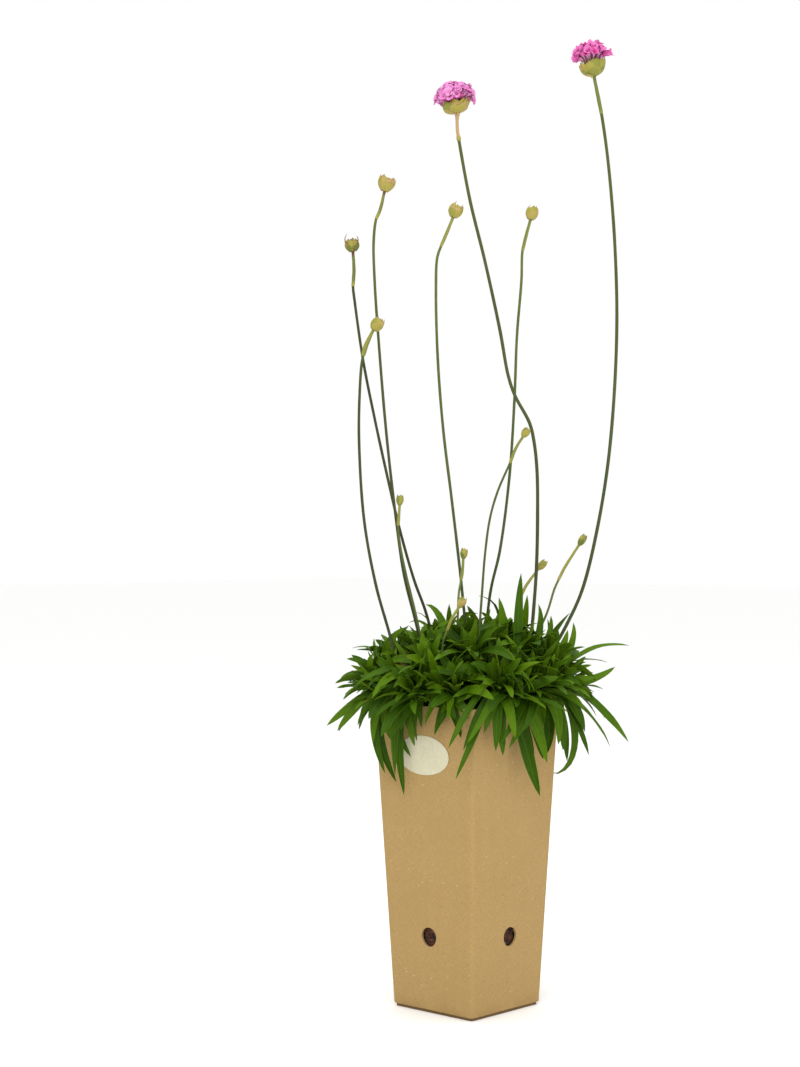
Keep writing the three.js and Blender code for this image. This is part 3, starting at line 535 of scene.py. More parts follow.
def pot_rings():
    walls = np.linspace(BASE_REVEAL + 0.6, POT_HEIGHT - 0.4, WALL_RINGS)
    rings = [square_ring(0, BASE_INSET, False), square_ring(BASE_REVEAL, BASE_INSET, False),
             square_ring(BASE_REVEAL, 0.4, False)]
    rings += [square_ring(height, 0) for height in walls]
    rings += [square_ring(POT_HEIGHT, inset) for inset in (RIM_ROUNDING, BOARD - RIM_ROUNDING)]
    rings += [square_ring(height, BOARD) for height in walls[::-1] if height > BASE_TOP]
    return [*rings, square_ring(BASE_TOP, BOARD, False)]


print("pot:", POT_BOTTOM_SIDE, "to", round(POT_TOP_SIDE, 1), "mm wide,", round(POT_HEIGHT, 1), "mm high")

# %% Cut the holes
def cut(piece, cutter):
    modifier = piece.modifiers.new("cut", "BOOLEAN")
    modifier.operation = "DIFFERENCE"
    modifier.solver = "EXACT"
    modifier.object = cutter
    evaluated = piece.evaluated_get(bpy.context.evaluated_depsgraph_get())
    mesh = bpy.data.meshes.new_from_object(evaluated)
    piece.modifiers.clear()
    old = piece.data
    piece.data = mesh
    bpy.data.meshes.remove(old)
    bpy.data.objects.remove(cutter)


def hole_cutter(quarter):
    """A bar through two sides of the pot, round like its holes and a little uneven."""
    rings = []
    for out in (-POT_TOP_SIDE, POT_TOP_SIDE):
        ring = []
        for k in range(HOLE_SIDES):
            turn = 2 * math.pi * k / HOLE_SIDES
            wobble = SIDE_HOLE_RADIUS * (1 + 0.015 * math.sin(3 * turn + quarter))
            ring.append((wobble * math.cos(turn), out, SIDE_HOLE_HEIGHT + wobble * math.sin(turn)))
        rings.append(ring)
    points, faces = loft(rings[::-1])
    if quarter:
        points = [(-y, x, z) for x, y, z in points]
    return link_mesh("cutter", np.array(points) * MM, faces)


print("holes:", 2 * SIDE_HOLE_RADIUS, "mm wide, middle", SIDE_HOLE_HEIGHT, "mm up")

# %% [markdown]
# ## Kraft board
# The board is unbleached: light brown, with short fibres that lie level and upright, soft clouds, and a few
# dark and pale specks. A picture of board could be laid on it, but colours from nodes stay sharp from near
# by and repeat nowhere. The strip along the base is dark brown as painted shade, for the shadow in the gap
# where the base sits inside the sides.

# %% Kraft board
def kraft_material():
    material, tree = new_material("kraft_board", 0.82)
    place = put(tree, "ShaderNodeTexCoord").outputs["Object"]
    split = put(tree, "ShaderNodeSeparateXYZ", [("Vector", place)]).outputs
    flat = math_node(tree, "ADD", split["X"], split["Y"])
    level = put(tree, "ShaderNodeCombineXYZ", [("X", flat), ("Y", split["Z"])]).outputs[0]
    upright = put(tree, "ShaderNodeCombineXYZ", [("X", split["Z"]), ("Y", flat)]).outputs[0]
    fibres = math_node(tree, "ADD", streaks(tree, level, 2600, 500), streaks(tree, upright, 2400, 420))
    fibre_mask = ramp(tree, fibres, 0.75, 1.25)
    board = mix_colour(tree, fibre_mask, paint("987944"), paint("aa8d58"))
    board = over(tree, board, ramp(tree, mottle(tree, 160), 0.35, 0.65), "9a7d47", 0.45)
    board = over(tree, board, ramp(tree, streaks(tree, level, 160, 6), 0.42, 0.66), "987944", 0.12)
    specks = put(tree, "ShaderNodeTexVoronoi", [("Vector", place), ("Scale", 310.0)]).outputs
    chosen = put(tree, "ShaderNodeSeparateColor", [("Color", specks["Color"])]).outputs
    near = ramp(tree, specks["Distance"], 0.22, 0.08)
    dark = math_node(tree, "MULTIPLY", near, ramp(tree, chosen[0], 0.93, 0.97))
    light = math_node(tree, "MULTIPLY", near, ramp(tree, chosen[1], 0.9, 0.95))
    board = over(tree, board, dark, "664e25", 0.55)
    board = over(tree, board, light, "cdb786", 0.6)
    # painted shade: the board below this height is darkened for the shadow where the base sits inside the
    # sides
    foot = ramp(tree, split["Z"], BASE_SHADE_TOP * MM, BASE_SHADE_TOP * MM * 0.8)
    board = over(tree, board, foot, "4a3216", 0.75)
    return finish_material(material, board, fibre_mask, 0.25, 0.0002)


KRAFT = kraft_material()
print("material:", KRAFT.name, "nodes:", len(KRAFT.node_tree.nodes))

# %% Build the pot
pot_form = Form()
pot_form.add(*loft(pot_rings()), (0, 0, 0), (0, 0, 0))
pot_piece = pot_form.build("kraft_pot", KRAFT, "pot_board", "pot")
for quarter in (0, 1):
    cut(pot_piece, hole_cutter(quarter))
pot_piece.data.set_sharp_from_angle(angle=CREASE_ANGLE)
print("pot faces:", len(pot_piece.data.polygons), "rim side", round(POT_TOP_SIDE, 1), "mm")

# %% [markdown]
# ## The label
# A smooth oval paper sticker lies on the side that faces the viewer's left. It could be a decal in the
# pot's material, but a sticker has an edge that catches light, so it is a thin sheet of its own. It follows
# the slight swell of the board, and stands off it by less than the thickness of a card. It is left bare.

# %% Label
LABEL_HALF_WIDTH = 22
LABEL_HALF_HEIGHT = 12.75
LABEL_MIDDLE = 168
LABEL_STAND = 0.14
LABEL_THICKNESS = 0.22
LABEL_RINGS = 8
LABEL_SIDES = 64


def on_front(x, height, stand):
    """A point on the pot's -Y side."""
    half = half_side(height)
    return (x, -(half + swell(x, height, half) + stand), height)


def label_form():
    form = Form()
    outer = np.zeros((LABEL_RINGS + 1, LABEL_SIDES + 1, 3))
    inner = np.zeros_like(outer)
    spot = np.zeros_like(outer)
    for i in range(LABEL_RINGS + 1):
        share = 0.02 + 0.98 * i / LABEL_RINGS
        for k in range(LABEL_SIDES + 1):
            turn = 2 * math.pi * k / LABEL_SIDES
            x = LABEL_HALF_WIDTH * share * math.cos(turn)
            z = LABEL_MIDDLE + LABEL_HALF_HEIGHT * share * math.sin(turn)
            lift = 0.1 * share ** 8 * (1 + math.sin(turn * 3 + 1))
            thick = LABEL_THICKNESS if share < 1 else LABEL_THICKNESS * 0.6
            outer[i, k] = on_front(x, z, LABEL_STAND + lift + thick)
            inner[i, k] = on_front(x, z, LABEL_STAND + lift)
            spot[i, k] = (x / LABEL_HALF_WIDTH, (z - LABEL_MIDDLE) / LABEL_HALF_HEIGHT, share)
    form.shell(outer, inner, spot, (0, 0, 0), (1, 0, 0))
    return form


print("label:", 2 * LABEL_HALF_WIDTH, "x", 2 * LABEL_HALF_HEIGHT, "mm")

# %% [markdown]
# ## Label paper
# The sticker is smooth cream paper with hardly any grain. One flat colour would look like plastic, so two
# creams are mixed by a cloud, and a very fine relief takes the shine off.

# %% Label paper
def label_material():
    material, tree = new_material("label_paper", 0.5)
    cloud = ramp(tree, mottle(tree, 420), 0.35, 0.65)
    paper = mix_colour(tree, cloud, paint("c7c1a7"), paint("bdb798"))
    return finish_material(material, paper, mottle(tree, 1500), 0.12, 0.0001)


LABEL_PAPER = label_material()
print("material:", LABEL_PAPER.name, "nodes:", len(LABEL_PAPER.node_tree.nodes))

# %% Build the label
label_piece = label_form().build("oval_label", LABEL_PAPER, "label_paper", "label")
print("label faces:", len(label_piece.data.polygons))

# %% [markdown]
# ## The peat
# The soil shows behind the rim and in the drainage holes: nearly black, crumbly, with a few pale grains. A
# flat box would look like plastic there. So the block's skin is pushed in and out by a formula of several
# waves, and loose crumbs lie on its top and in its sides, where the holes let one see them.

# %% Soil
SOIL_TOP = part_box("soil")[1].z / MM
SOIL_INSET = BOARD + 0.9
CRUMBS_ON_TOP = 420
CRUMBS_PER_HOLE = 46
# The span brings a crumb's corners to about 1 from its middle. Neighbours among them are nearer than the gap.
CRUMB_SPAN = 1.9
NEIGHBOUR_GAP = 1.2
HOLE_LEVELS = np.linspace(40, 60, 14)
TOP_SHARES = (1, 0.94, 0.86, 0.76, 0.64, 0.5, 0.36, 0.22, 0.1)


def rough(x, y, z):
    """Lumps and grain of peat, from -1 to 1, as a sum of waves that don't line up."""
    total = math.sin(0.43 * x + 1.3 * math.sin(0.31 * y + 0.2 * z)) * math.sin(0.37 * z + 0.51 * y)
    total += 0.6 * math.sin(1.13 * x + 0.7 * y) * math.sin(1.21 * z - 0.9 * y + 1.7)
    total += 0.4 * math.sin(2.3 * x - 1.7 * z) * math.sin(2.9 * y + 1.1 * x)
    return total / 2


def soil_form():
    form = Form()
    levels = [BASE_TOP + 0.5, 12, 24, 34, *HOLE_LEVELS, 70, 90, 110, 130, 150, 165, 178, 188]
    rings = []
    for height in levels:
        ring = square_ring(height, SOIL_INSET + 0.5, False)
        lumps = [1 + 0.012 * rough(x, y, z) for x, y, z in ring]
        rings.append([(x * lump, y * lump, z) for (x, y, z), lump in zip(ring, lumps)])
    for share in TOP_SHARES:
        ring = [(x * share, y * share, z) for x, y, z in square_ring(SOIL_TOP - 1, SOIL_INSET + 0.5, False)]
        rings.append([(x, y, z + 0.9 * rough(x * 1.3, y, z)) for x, y, z in ring])
    form.add(*loft(rings), (0, 0, 0), (0, 0, 0))
    return form


print("soil up to", round(SOIL_TOP, 1), "mm, pot up to", round(POT_HEIGHT, 1), "mm")

# %% Crumbs
TOP_KEY = 900
TOP_CRUMB_KEY = 1000
SIDE_CRUMB_KEY = 5000


def add_crumb(form, middle, size, key):
    """A crumb: a twelve-cornered ball with uneven corners. Its look says how pale it is."""
    golden = (1 + math.sqrt(5)) / 2
    corners = [(0, a, b * golden) for a in (-1, 1) for b in (-1, 1)]
    corners += [(a, b * golden, 0) for a in (-1, 1) for b in (-1, 1)]
    corners += [(b * golden, 0, a) for a in (-1, 1) for b in (-1, 1)]
    corners = np.array(corners) / CRUMB_SPAN
    faces = []
    for i in range(12):
        for j in range(i + 1, 12):
            for k in range(j + 1, 12):
                gaps = [np.linalg.norm(corners[a] - corners[b]) for a, b in ((i, j), (j, k), (i, k))]
                if max(gaps) < NEIGHBOUR_GAP:
                    facing = np.cross(corners[j] - corners[i], corners[k] - corners[i]).dot(corners[i])
                    faces.append((i, j, k) if facing > 0 else (i, k, j))
    stretch = np.array([between(0.6, 1.3, key, 1), between(0.6, 1.3, key, 2), between(0.5, 0.9, key, 3)])
    uneven = np.array([between(0.75, 1.15, key, 4, i) for i in range(12)])[:, None]
    pale = 1.0 if draw(key, 5) < 0.07 else 0.0
    form.add(middle + corners * uneven * stretch * size, faces, (0, 0, draw(key, 6)), (pale, 0, 0))


peat = soil_form()
inside = half_side(SOIL_TOP) - SOIL_INSET - 1.5
for i in range(CRUMBS_ON_TOP):
    edge = 1 - draw(TOP_KEY, i, 3) ** 2 * 0.5
    x = between(-inside, inside, TOP_KEY, i, 1)
    y = between(-inside, inside, TOP_KEY, i, 2)
    if i % 2:
        x = math.copysign(inside * edge, x)
    add_crumb(peat, np.array([x, y, SOIL_TOP - 0.9]), between(0.5, 1.5, TOP_KEY, i, 4), TOP_CRUMB_KEY + i)
for side in range(4):
    turn = side * math.pi / 2
    outward = np.array([math.cos(turn), math.sin(turn), 0])
    sideways = np.array([-outward[1], outward[0], 0])
    for i in range(CRUMBS_PER_HOLE):
        angle = 2 * math.pi * draw(side, i, 71)
        reach = (SIDE_HOLE_RADIUS + 1) * math.sqrt(draw(side, i, 72))
        height = SIDE_HOLE_HEIGHT + reach * math.sin(angle)
        out = half_side(height) - SOIL_INSET - 0.6
        middle = outward * out + sideways * reach * math.cos(angle) + UP * height
        add_crumb(peat, middle, between(0.4, 1.1, side, i, 73), SIDE_CRUMB_KEY + side * 100 + i)
print("crumbs:", CRUMBS_ON_TOP + 4 * CRUMBS_PER_HOLE)

# %% [markdown]
# ## Peat colour
# Moist peat is nearly black in its gaps and brown on its grains, and some crumbs are pale bits of wood. Each
# crumb could have its own material. Instead its look tells the one material how pale it is.

# %% Peat
def peat_material():
    material, tree = new_material("peat", 0.95)
    look = read_field(tree, "look")[1]
    grain = ramp(tree, mottle(tree, 900, 5.0), 0.4, 0.62)
    earth = mix_colour(tree, grain, paint("1e0f09"), paint("55301d"))
    earth = over(tree, earth, look["X"], "a08a68", 0.8)
    return finish_material(material, earth, mottle(tree, 1400, 5.0), 0.6, 0.0006)


PEAT = peat_material()
print("material:", PEAT.name, "nodes:", len(PEAT.node_tree.nodes))

# %% Build the soil
soil_piece = peat.build("peat_block", PEAT, "soil", "soil")
print("soil faces:", len(soil_piece.data.polygons))

# %% [markdown]
# ## Thin sheets
# Leaf, bract and petal are the same kind of thing: a thin sheet that is wide here and narrow there, bent
# along its length and curved across. A sheet is given as a surface over two shares, s from one edge to the
# other and t from root to tip. Its two faces are then half a thickness to either side of that surface.

# %% A sheet from a surface
EVEN_COLUMNS = np.linspace(-1, 1, 7)


def add_sheet(form, surface, rows, columns, thickness, seed, look_out, look_in):
    s, t = np.meshgrid(columns, np.linspace(0, 1, rows))
    middle = surface(s, t)
    facing = np.cross(np.gradient(middle, axis=1), np.gradient(middle, axis=0))
    facing /= np.maximum(np.linalg.norm(facing, axis=2), 1e-9)[..., None]
    half = (thickness(s, t) / 2)[..., None]
    spot = np.stack([s, t, np.full_like(s, seed)], axis=2)
    form.shell(middle + facing * half, middle - facing * half, spot, look_out, look_in)


print("points across a petal:", len(EVEN_COLUMNS))

# %% [markdown]
# ## Stalks
# Every flower head stands on one wiry, leafless stem. It could be a tube of one thickness, but a real stem is
# thinner near its head, and pale where it leaves the leaves. Under each head hangs a papery sheath: the two
# lowest bracts grown together, turned down and wrapped round the stem, with a torn lower end. The stem runs
# on inside it, so stem and sheath are two things that fit into each other.

# %% The stalks, from foot to head
# foot is (across, towards). The points of stem, sheath and middle (of the head) are (across, up) at the
# stalk's own depth, or (across, towards, up). size is the head's width, and open runs from 0, a closed egg,
# to 1, a goblet. stem_look is (deep at its foot, deep at its head, brown), and the other looks are
# (green, brown, pink). bulge, cuff and funnel widen a sheath: in its middle, at its lower end, at the head.
BLOOMING = (1, 2)
STALKS = [
    {"depth": 0, "size": 17, "bulge": 0.05, "cuff": 0.5, "funnel": 1.0, "foot": (38, 5),
     "stem": [(44, 2, 260), (46, 287), (46.8, 320), (46.4, 353), (44.4, 372), (41.5, 384), (31.9, 402),
              (27.5, 415), (22, 445), (12, 491), (2.2, 531)],
     "sheath": [(-5, 570), (-6.2, 578), (-6.3, 588.6)], "middle": (-7.1, 592.4),
     "stem_look": (0.85, 0.6, 0.1), "sheath_look": (0, 0.1, 0), "cuff_look": (0.7, 0.5, 0),
     "head_look": (0.28, 0.35, 0)},
    {"depth": 0, "size": 17.2, "foot": (42, -8),
     "stem": [(52, -4, 224), (65.6, 250), (76, 273), (86, 313), (94.3, 366), (99, 440), (97.9, 500),
              (93.3, 557)],
     "sheath": [(89, 588), (87, 598), (84, 613)], "middle": (83.2, 617.7),
     "stem_look": (0.8, 0.6, 0.05), "sheath_look": (1.05, 0.1, 0), "cuff_look": (0.8, 0.3, 0),
     "head_look": (0.65, 0.2, 0)},
    {"depth": -8, "size": 11.2, "open": 0.7, "foot": (-20, -9),
     "stem": [(-34, 254), (-41.4, 284), (-47.3, 326), (-53.2, 379), (-58.2, 439), (-60.8, 478), (-61.5, 505)],
     "sheath": [(-59.8, 520), (-57.2, 526), (-54.3, 538.3)], "middle": (-53, 543.5),
     "stem_look": (1.0, 0.45, 0.1), "sheath_look": (0.95, 1.2, 0), "cuff_look": (0.4, 0.5, 0),
     "head_look": (0.4, 0.1, 0.5)},
    {"depth": -16, "size": 9.8, "open": 0.1, "foot": (-12, -26),
     "stem": [(-26, -17, 256), (-34.6, 280), (-44, 313), (-52, 347), (-61.4, 390), (-68.7, 427),
              (-74.4, 467)],
     "sheath": [(-75.4, 476), (-74.7, 487), (-75.4, 499.4)], "middle": (-76, 503.9),
     "stem_look": (1.0, 0.85, 0.2), "sheath_look": (1.1, 1.1, 0), "cuff_look": (0.4, 0.6, 0),
     "head_look": (1.0, 1.0, 0.1)},
    {"depth": 12, "size": 8.7, "open": 0.15, "bulge": 0.7, "foot": (-38, 12),
     "stem": [(-50.5, 244), (-59.7, 277), (-67.5, 320), (-70.8, 372), (-70.5, 400), (-69.2, 421)],
     "sheath": [(-68.2, 427), (-66.2, 434), (-61.4, 444.2)], "middle": (-58.6, 448.3),
     "stem_look": (0.95, 0.7, 0), "sheath_look": (0.95, 0, 0), "cuff_look": (0.9, 0, 0),
     "head_look": (0.6, 0.1, 0.35)},
    {"depth": -4, "size": 9.7, "open": 0.25, "foot": (4, -6),
     "stem": [(-3, 274), (-9.7, 333), (-15.3, 379), (-18.9, 425), (-20.2, 472), (-19.3, 494)],
     "sheath": [(-16.9, 501), (-13, 510), (-8.8, 520.4)], "middle": (-7.2, 525),
     "stem_look": (0.8, 0.4, 0), "sheath_look": (1.0, 0.3, 0), "cuff_look": (0.7, 0.3, 0),
     "head_look": (0.45, 0.1, 0.35)},
    {"depth": -24, "size": 8.7, "open": 0.05, "foot": (10, -28),
     "stem": [(16.5, 270), (23.2, 300), (29.6, 350), (32.9, 401), (34.6, 444), (37.6, 481)],
     "sheath": [(38.3, 501), (40.7, 511), (43.7, 522)], "middle": (44.8, 526.8),
     "stem_look": (0.85, 0.4, 0), "sheath_look": (1.0, 0.3, 0), "cuff_look": (0.8, 0.1, 0),
     "head_look": (0.45, 0.05, 0.3)},
    {"depth": 14, "size": 5.4, "open": 0.0, "foot": (4, 18),
     "stem": [(9.2, 267), (11.8, 300), (15, 322), (20, 339)],
     "sheath": [(27.8, 357), (31.8, 367), (36.3, 374.3)], "middle": (38.3, 377.3),
     "stem_look": (0.7, 0.6, 0.1), "sheath_look": (0.9, 0, 0), "cuff_look": (0.6, 0.2, 0),
     "head_look": (0.6, 0.15, 0.1)},
    {"depth": 8, "size": 4.8, "open": 0.5, "foot": (-22, 10),
     "stem": [(-32.8, 254), (-40, 284), (-43.7, 302)],
     "sheath": [(-45.3, 316), (-44.8, 322), (-44.3, 329.6)], "middle": (-44.1, 333.2),
     "stem_look": (0.7, 0.5, 0), "sheath_look": (0.8, 0.1, 0), "cuff_look": (0.7, 0.1, 0),
     "head_look": (0.75, 0.05, 0)},
    {"depth": 6, "size": 4.8, "open": 0.35, "foot": (-8, 2),
     "stem": [(-6.2, 250), (-5.3, 272)],
     "sheath": [(-4, 280), (-3, 286), (-2.4, 294.6)], "middle": (-1.9, 298.2),
     "stem_look": (0.5, 0.2, 0), "sheath_look": (0.9, 0, 0), "cuff_look": (0.8, 0, 0),
     "head_look": (0.85, 0.1, 0)},
    {"depth": -6, "size": 4.9, "open": 0.0, "foot": (28, -10),
     "stem": [(43, -7, 235), (53.7, 259), (58.3, 274)],
     "sheath": [(61, 280), (65, 288), (74.7, 303.4)], "middle": (77, 307),
     "stem_look": (0.6, 0.3, 0.1), "sheath_look": (0.8, 0.1, 0), "cuff_look": (0.2, 0.9, 0),
     "head_look": (0.7, 0.3, 0.1)},
    {"depth": -12, "size": 4.9, "open": 0.1, "foot": (24, -16),
     "stem": [(30, -13, 235), (35.3, 263)],
     "sheath": [(36.6, 269), (39.9, 276), (48.2, 287.4)], "middle": (50.9, 290.4),
     "stem_look": (0.5, 0.2, 0), "sheath_look": (0.8, 0.1, 0), "cuff_look": (0.5, 0.3, 0),
     "head_look": (0.65, 0.2, 0.3)},
    {"depth": 26, "size": 5.3, "open": 0.2, "foot": (-10, 26),
     "stem": [(-15, 27, 218), (-16.6, 234), (-15.9, 242)],
     "sheath": [(-13.6, 248), (-10.4, 256), (-5.7, 263.5)], "middle": (-3.8, 266.8),
     "stem_look": (0.4, 0.1, 0), "sheath_look": (0.75, 0, 0), "cuff_look": (0.7, 0, 0),
     "head_look": (0.55, 0.1, 0)},
]
YOUNG_BUDS = [
    {"size": 7, "open": 0.0, "foot": (-36, 4), "stem": [(-39, 13, 205), (-42.2, 23, 222)],
     "middle": (-42.6, 24, 225.8), "head_look": (0.9, 0.15, 0)},
    {"size": 4.9, "open": 0.0, "foot": (-34, 10), "stem": [(-38, 18, 203), (-41.2, 26.5, 216.4)],
     "middle": (-41.5, 27, 219), "head_look": (0.6, 0.1, 0)},
]
HOLE_FLOOR = 184.6
FIRST_YOUNG_BUD = 21
for number, stalk in [*enumerate(STALKS, 1), *enumerate(YOUNG_BUDS, FIRST_YOUNG_BUD)]:
    stalk["number"] = number


def on_stalk(stalk, point):
    return at(point[0], stalk["depth"], point[1]) if len(point) == 2 else at(*point)


def stem_points(stalk):
    foot = stalk["foot"]
    rest = [on_stalk(stalk, point) for point in stalk["stem"]]
    return [at(*foot, HOLE_FLOOR), at(*foot, SOIL_TOP + 1), *rest]


print("stalks:", len(STALKS), "young buds:", len(YOUNG_BUDS))

# %% Stems and sheaths
STEM_SIDES = 10
STEM_SPACING = 3
SHEATH_SPACING = 1.2
SHEATH_THICKNESS = 0.2
BIG_HEAD = 8


def stem_radius(stalk):
    """In mm: the youngest heads have the thinnest stems, and the open blooms the thickest."""
    return 0.78 if stalk["size"] < BIG_HEAD else 1.12 if stalk["number"] in BLOOMING else 0.95


def path_frames(path):
    """Two directions square to each run of a path, that don't twist about it."""
    runs = np.gradient(path, axis=0)
    runs /= np.linalg.norm(runs, axis=1)[:, None]
    normals = np.zeros_like(runs)
    normal = unit(np.cross(runs[0], [0.3, 0.8, 0.52]))
    for i, run in enumerate(runs):
        normal = unit(normal - run * normal.dot(run))
        normals[i] = normal
    return normals, np.cross(runs, normals)


def add_stem(form, stalk):
    """A stem from the soil up into the head. It is thinner inside its sheath, and pale at its foot."""
    key = stalk["number"]
    sheath = [on_stalk(stalk, point) for point in stalk["sheath"]]
    path = catmull_rom([*stem_points(stalk), *sheath], STEM_SPACING)
    steps = np.append(0, np.cumsum(np.linalg.norm(np.diff(path, axis=0), axis=1)))
    shares = steps / steps[-1]
    left = steps[-1] - steps
    radii = stem_radius(stalk) * (1.05 - 0.1 * shares) * (1 - 0.32 * np.exp(-(left / 16) ** 4))
    radii = radii * (1 + 0.03 * np.sin(shares * 60 + key) * np.sin(shares * 23))
    low, high, brown = stalk["stem_look"]
    green_foot = np.exp(-((path[:, 2] - POT_HEIGHT) / 30) ** 2)
    deep = low + (high - low) * shares ** 1.5
    looks = np.stack([deep * (1 - 0.5 * green_foot), np.full_like(deep, brown), 0.4 * green_foot], axis=1)
    add_tube(form, path, radii, STEM_SIDES, (0, 0, 0), seed=draw(key, 21), looks=looks)


def add_sheath(form, stalk):
    """A papery sheet that is rolled once round the stem. t runs from its torn lower end to the head."""
    key = stalk["number"]
    path = catmull_rom([on_stalk(stalk, point) for point in stalk["sheath"]], SHEATH_SPACING)
    normals, seconds = path_frames(path)
    length = np.linalg.norm(np.diff(path, axis=0), axis=1).sum()
    radius = stem_radius(stalk) * 0.7 + 0.12
    bulge = stalk.get("bulge", 0.24)

    def surface(s, t):
        torn = 0.7 * np.sin(s * 7 + key) + 0.5 * np.sin(s * 17 + key * 2)
        place_share = np.clip(t + (torn - 0.5) / length * (1 - t) ** 6, 0, 1)
        steps = place_share * (len(path) - 1)
        low = np.minimum(steps.astype(int), len(path) - 2)
        part = (steps - low)[..., None]
        middle = path[low] * (1 - part) + path[low + 1] * part
        turn = np.pi * 1.06 * s + key
        wide = radius + 0.06 * s + bulge * np.sin(np.pi * np.clip(t, 0, 1) ** 0.62) ** 1.2
        wide = wide + stalk.get("cuff", 0.1) * np.exp(-((t * length - 1.6) / 1.5) ** 2)
        wide = wide + stalk.get("funnel", 0.15) * np.clip((t - 0.7) / 0.3, 0, 1) ** 2
        wide = wide + 0.03 * np.sin(t * length * 0.9 + s * 4 + key)
        outward = normals[low] * np.cos(turn)[..., None] + seconds[low] * np.sin(turn)[..., None]
        return middle + wide[..., None] * outward

    rows = max(8, round(length / 1.1))
    columns = np.linspace(-1, 1, 15)
    s, t = np.meshgrid(columns, np.linspace(0, 1, rows))
    share = np.exp(-(t * length / 3) ** 2)[..., None]
    look = np.array(stalk["sheath_look"]) * (1 - share) + np.array(stalk["cuff_look"]) * share
    add_sheet(form, surface, rows, columns, lambda s, t: SHEATH_THICKNESS + 0 * s, draw(key, 22),
              (0, 0, 0), (0, 0, 0))
    form.looks[-1] = np.concatenate([look.reshape(-1, 3)] * 2)


print("stem radii:", sorted({stem_radius(stalk) for stalk in STALKS}), "mm")

# %% [markdown]
# ## Buds
# A closed head is a ball of overlapping papery scales: short broad ones outside and low, taller ones
# inside, with pale torn edges, and in the older buds the first pink tips. It could be a ball with scales
# painted on, but their edges cast the fine shadows that make them readable. So every scale is a sheet that
# lies on the ball, stands off it a little, and opens at its tip. The youngest heads are small eggs, and
# three of the older ones have lobes or curled spikes of their own.

# %% Scales of a head
SCALE_COLUMNS = np.linspace(-1, 1, 9)
SCALE_ROWS = 10
CORE_SHARE = 0.84


def head_frame(stalk):
    """Where a head stands. Its middle is half-way up."""
    base = on_stalk(stalk, stalk.get("sheath", stalk["stem"])[-1])
    rise = on_stalk(stalk, stalk["middle"]) - base
    axis = unit(rise)
    first = unit(np.cross(axis, TOWARDS))
    return {"base": base, "axis": axis, "height": 2 * np.linalg.norm(rise), "first": first,
            "second": np.cross(axis, first)}


def around(head, turn):
    """A direction square to the head's axis: 0 is to the viewer's right, -90 degrees towards the viewer."""
    turn = np.asarray(turn)[..., None]
    return head["first"] * np.cos(turn) + head["second"] * np.sin(turn)


def ball(opening):
    """The radius of a bud up its height, as shares: closed like an egg, or open like a goblet."""
    def profile(h):
        closed = np.sin(np.pi * np.clip(0.1 + 0.8 * h, 0.02, 0.99)) ** 0.65
        goblet = 0.42 + 0.58 * np.sin(np.pi / 2 * np.clip(h * 1.7, 0, 1))
        return closed * (1 - opening) + goblet * opening
    return profile


def bowl(foot, fill, curve):
    """The radius of an open cup up its height, as shares."""
    def profile(h):
        return foot + (1 - foot) * (1 - (1 - np.clip(h, 0, 1)) ** fill) ** curve
    return profile


def scale_thickness(s, t):
    return 0.28 * (1 - 0.5 * np.abs(s)) * (1 - 0.45 * t)


def add_scale(form, head, spec, turn, reach, half_turn, stand, key, look, flare, point):
    """A scale on the head. half_turn is in degrees, reach its lowest and highest share of the height, stand
    how many mm it is off the head, flare how far it leans out, and point how sharp it is."""
    seed = draw(key, 31)
    profile, size, height = spec
    low, high = reach
    half_turn = math.radians(half_turn)

    def surface(s, t):
        ragged = 0.02 * np.sin(s * 8 + seed * 30) + 0.01 * np.sin(s * 19 + seed * 50)
        h = low + (high - low) * t * (1 - 0.1 * s ** 4) + ragged * t ** 4
        broad = (1 - t ** (4 - 2.4 * point)) ** (0.5 + 0.4 * point) * (0.74 + 0.34 * np.sin(np.pi * t)) + 0.03
        bulge = 0.03 * size * (1 - s ** 2) * np.sin(np.pi * t)
        lifted = 0.01 * size * np.abs(s) ** 3 * (1 + np.sin(t * 9 + seed * 20))
        radius = size / 2 * profile(h) + stand + bulge + lifted + flare * size * t ** 2.5
        out = around(head, turn + s * half_turn * broad)
        return head["base"] + out * radius[..., None] + head["axis"] * (h * height)[..., None]

    inner = (look[0] * 0.7, look[1], look[2])
    add_sheet(form, surface, SCALE_ROWS, SCALE_COLUMNS, scale_thickness, seed, look, inner)


def add_core(form, head, spec, top, look):
    """The closed inside of a head, up to a share of its height, so that no gap looks through it."""
    profile, size, height = spec
    heights = np.linspace(0.0, top, 7)
    path = np.array([head["base"] + head["axis"] * h * height for h in heights])
    radii = np.array([size / 2 * float(profile(h)) * CORE_SHARE for h in heights])
    radii[-1] *= 0.6
    add_tube(form, path, radii, 14, look)


print("heights of the heads:", [round(float(head_frame(stalk)["height"]), 1) for stalk in STALKS], "mm")

# %% How the scales of the buds stand
# Rings of scales: how many, low, high, half turn in degrees, stand, point
BIG_RINGS = [(3, 0.0, 0.56, 66, 0.3, 0.1), (4, 0.03, 0.84, 54, 0.1, 0.2), (5, 0.14, 0.94, 46, -0.15, 0.1)]
SMALL_RINGS = [(2, 0.0, 0.6, 80, 0.12, 0.2), (3, 0.04, 0.9, 62, 0.02, 0.3), (3, 0.2, 0.98, 56, -0.12, 0.4)]
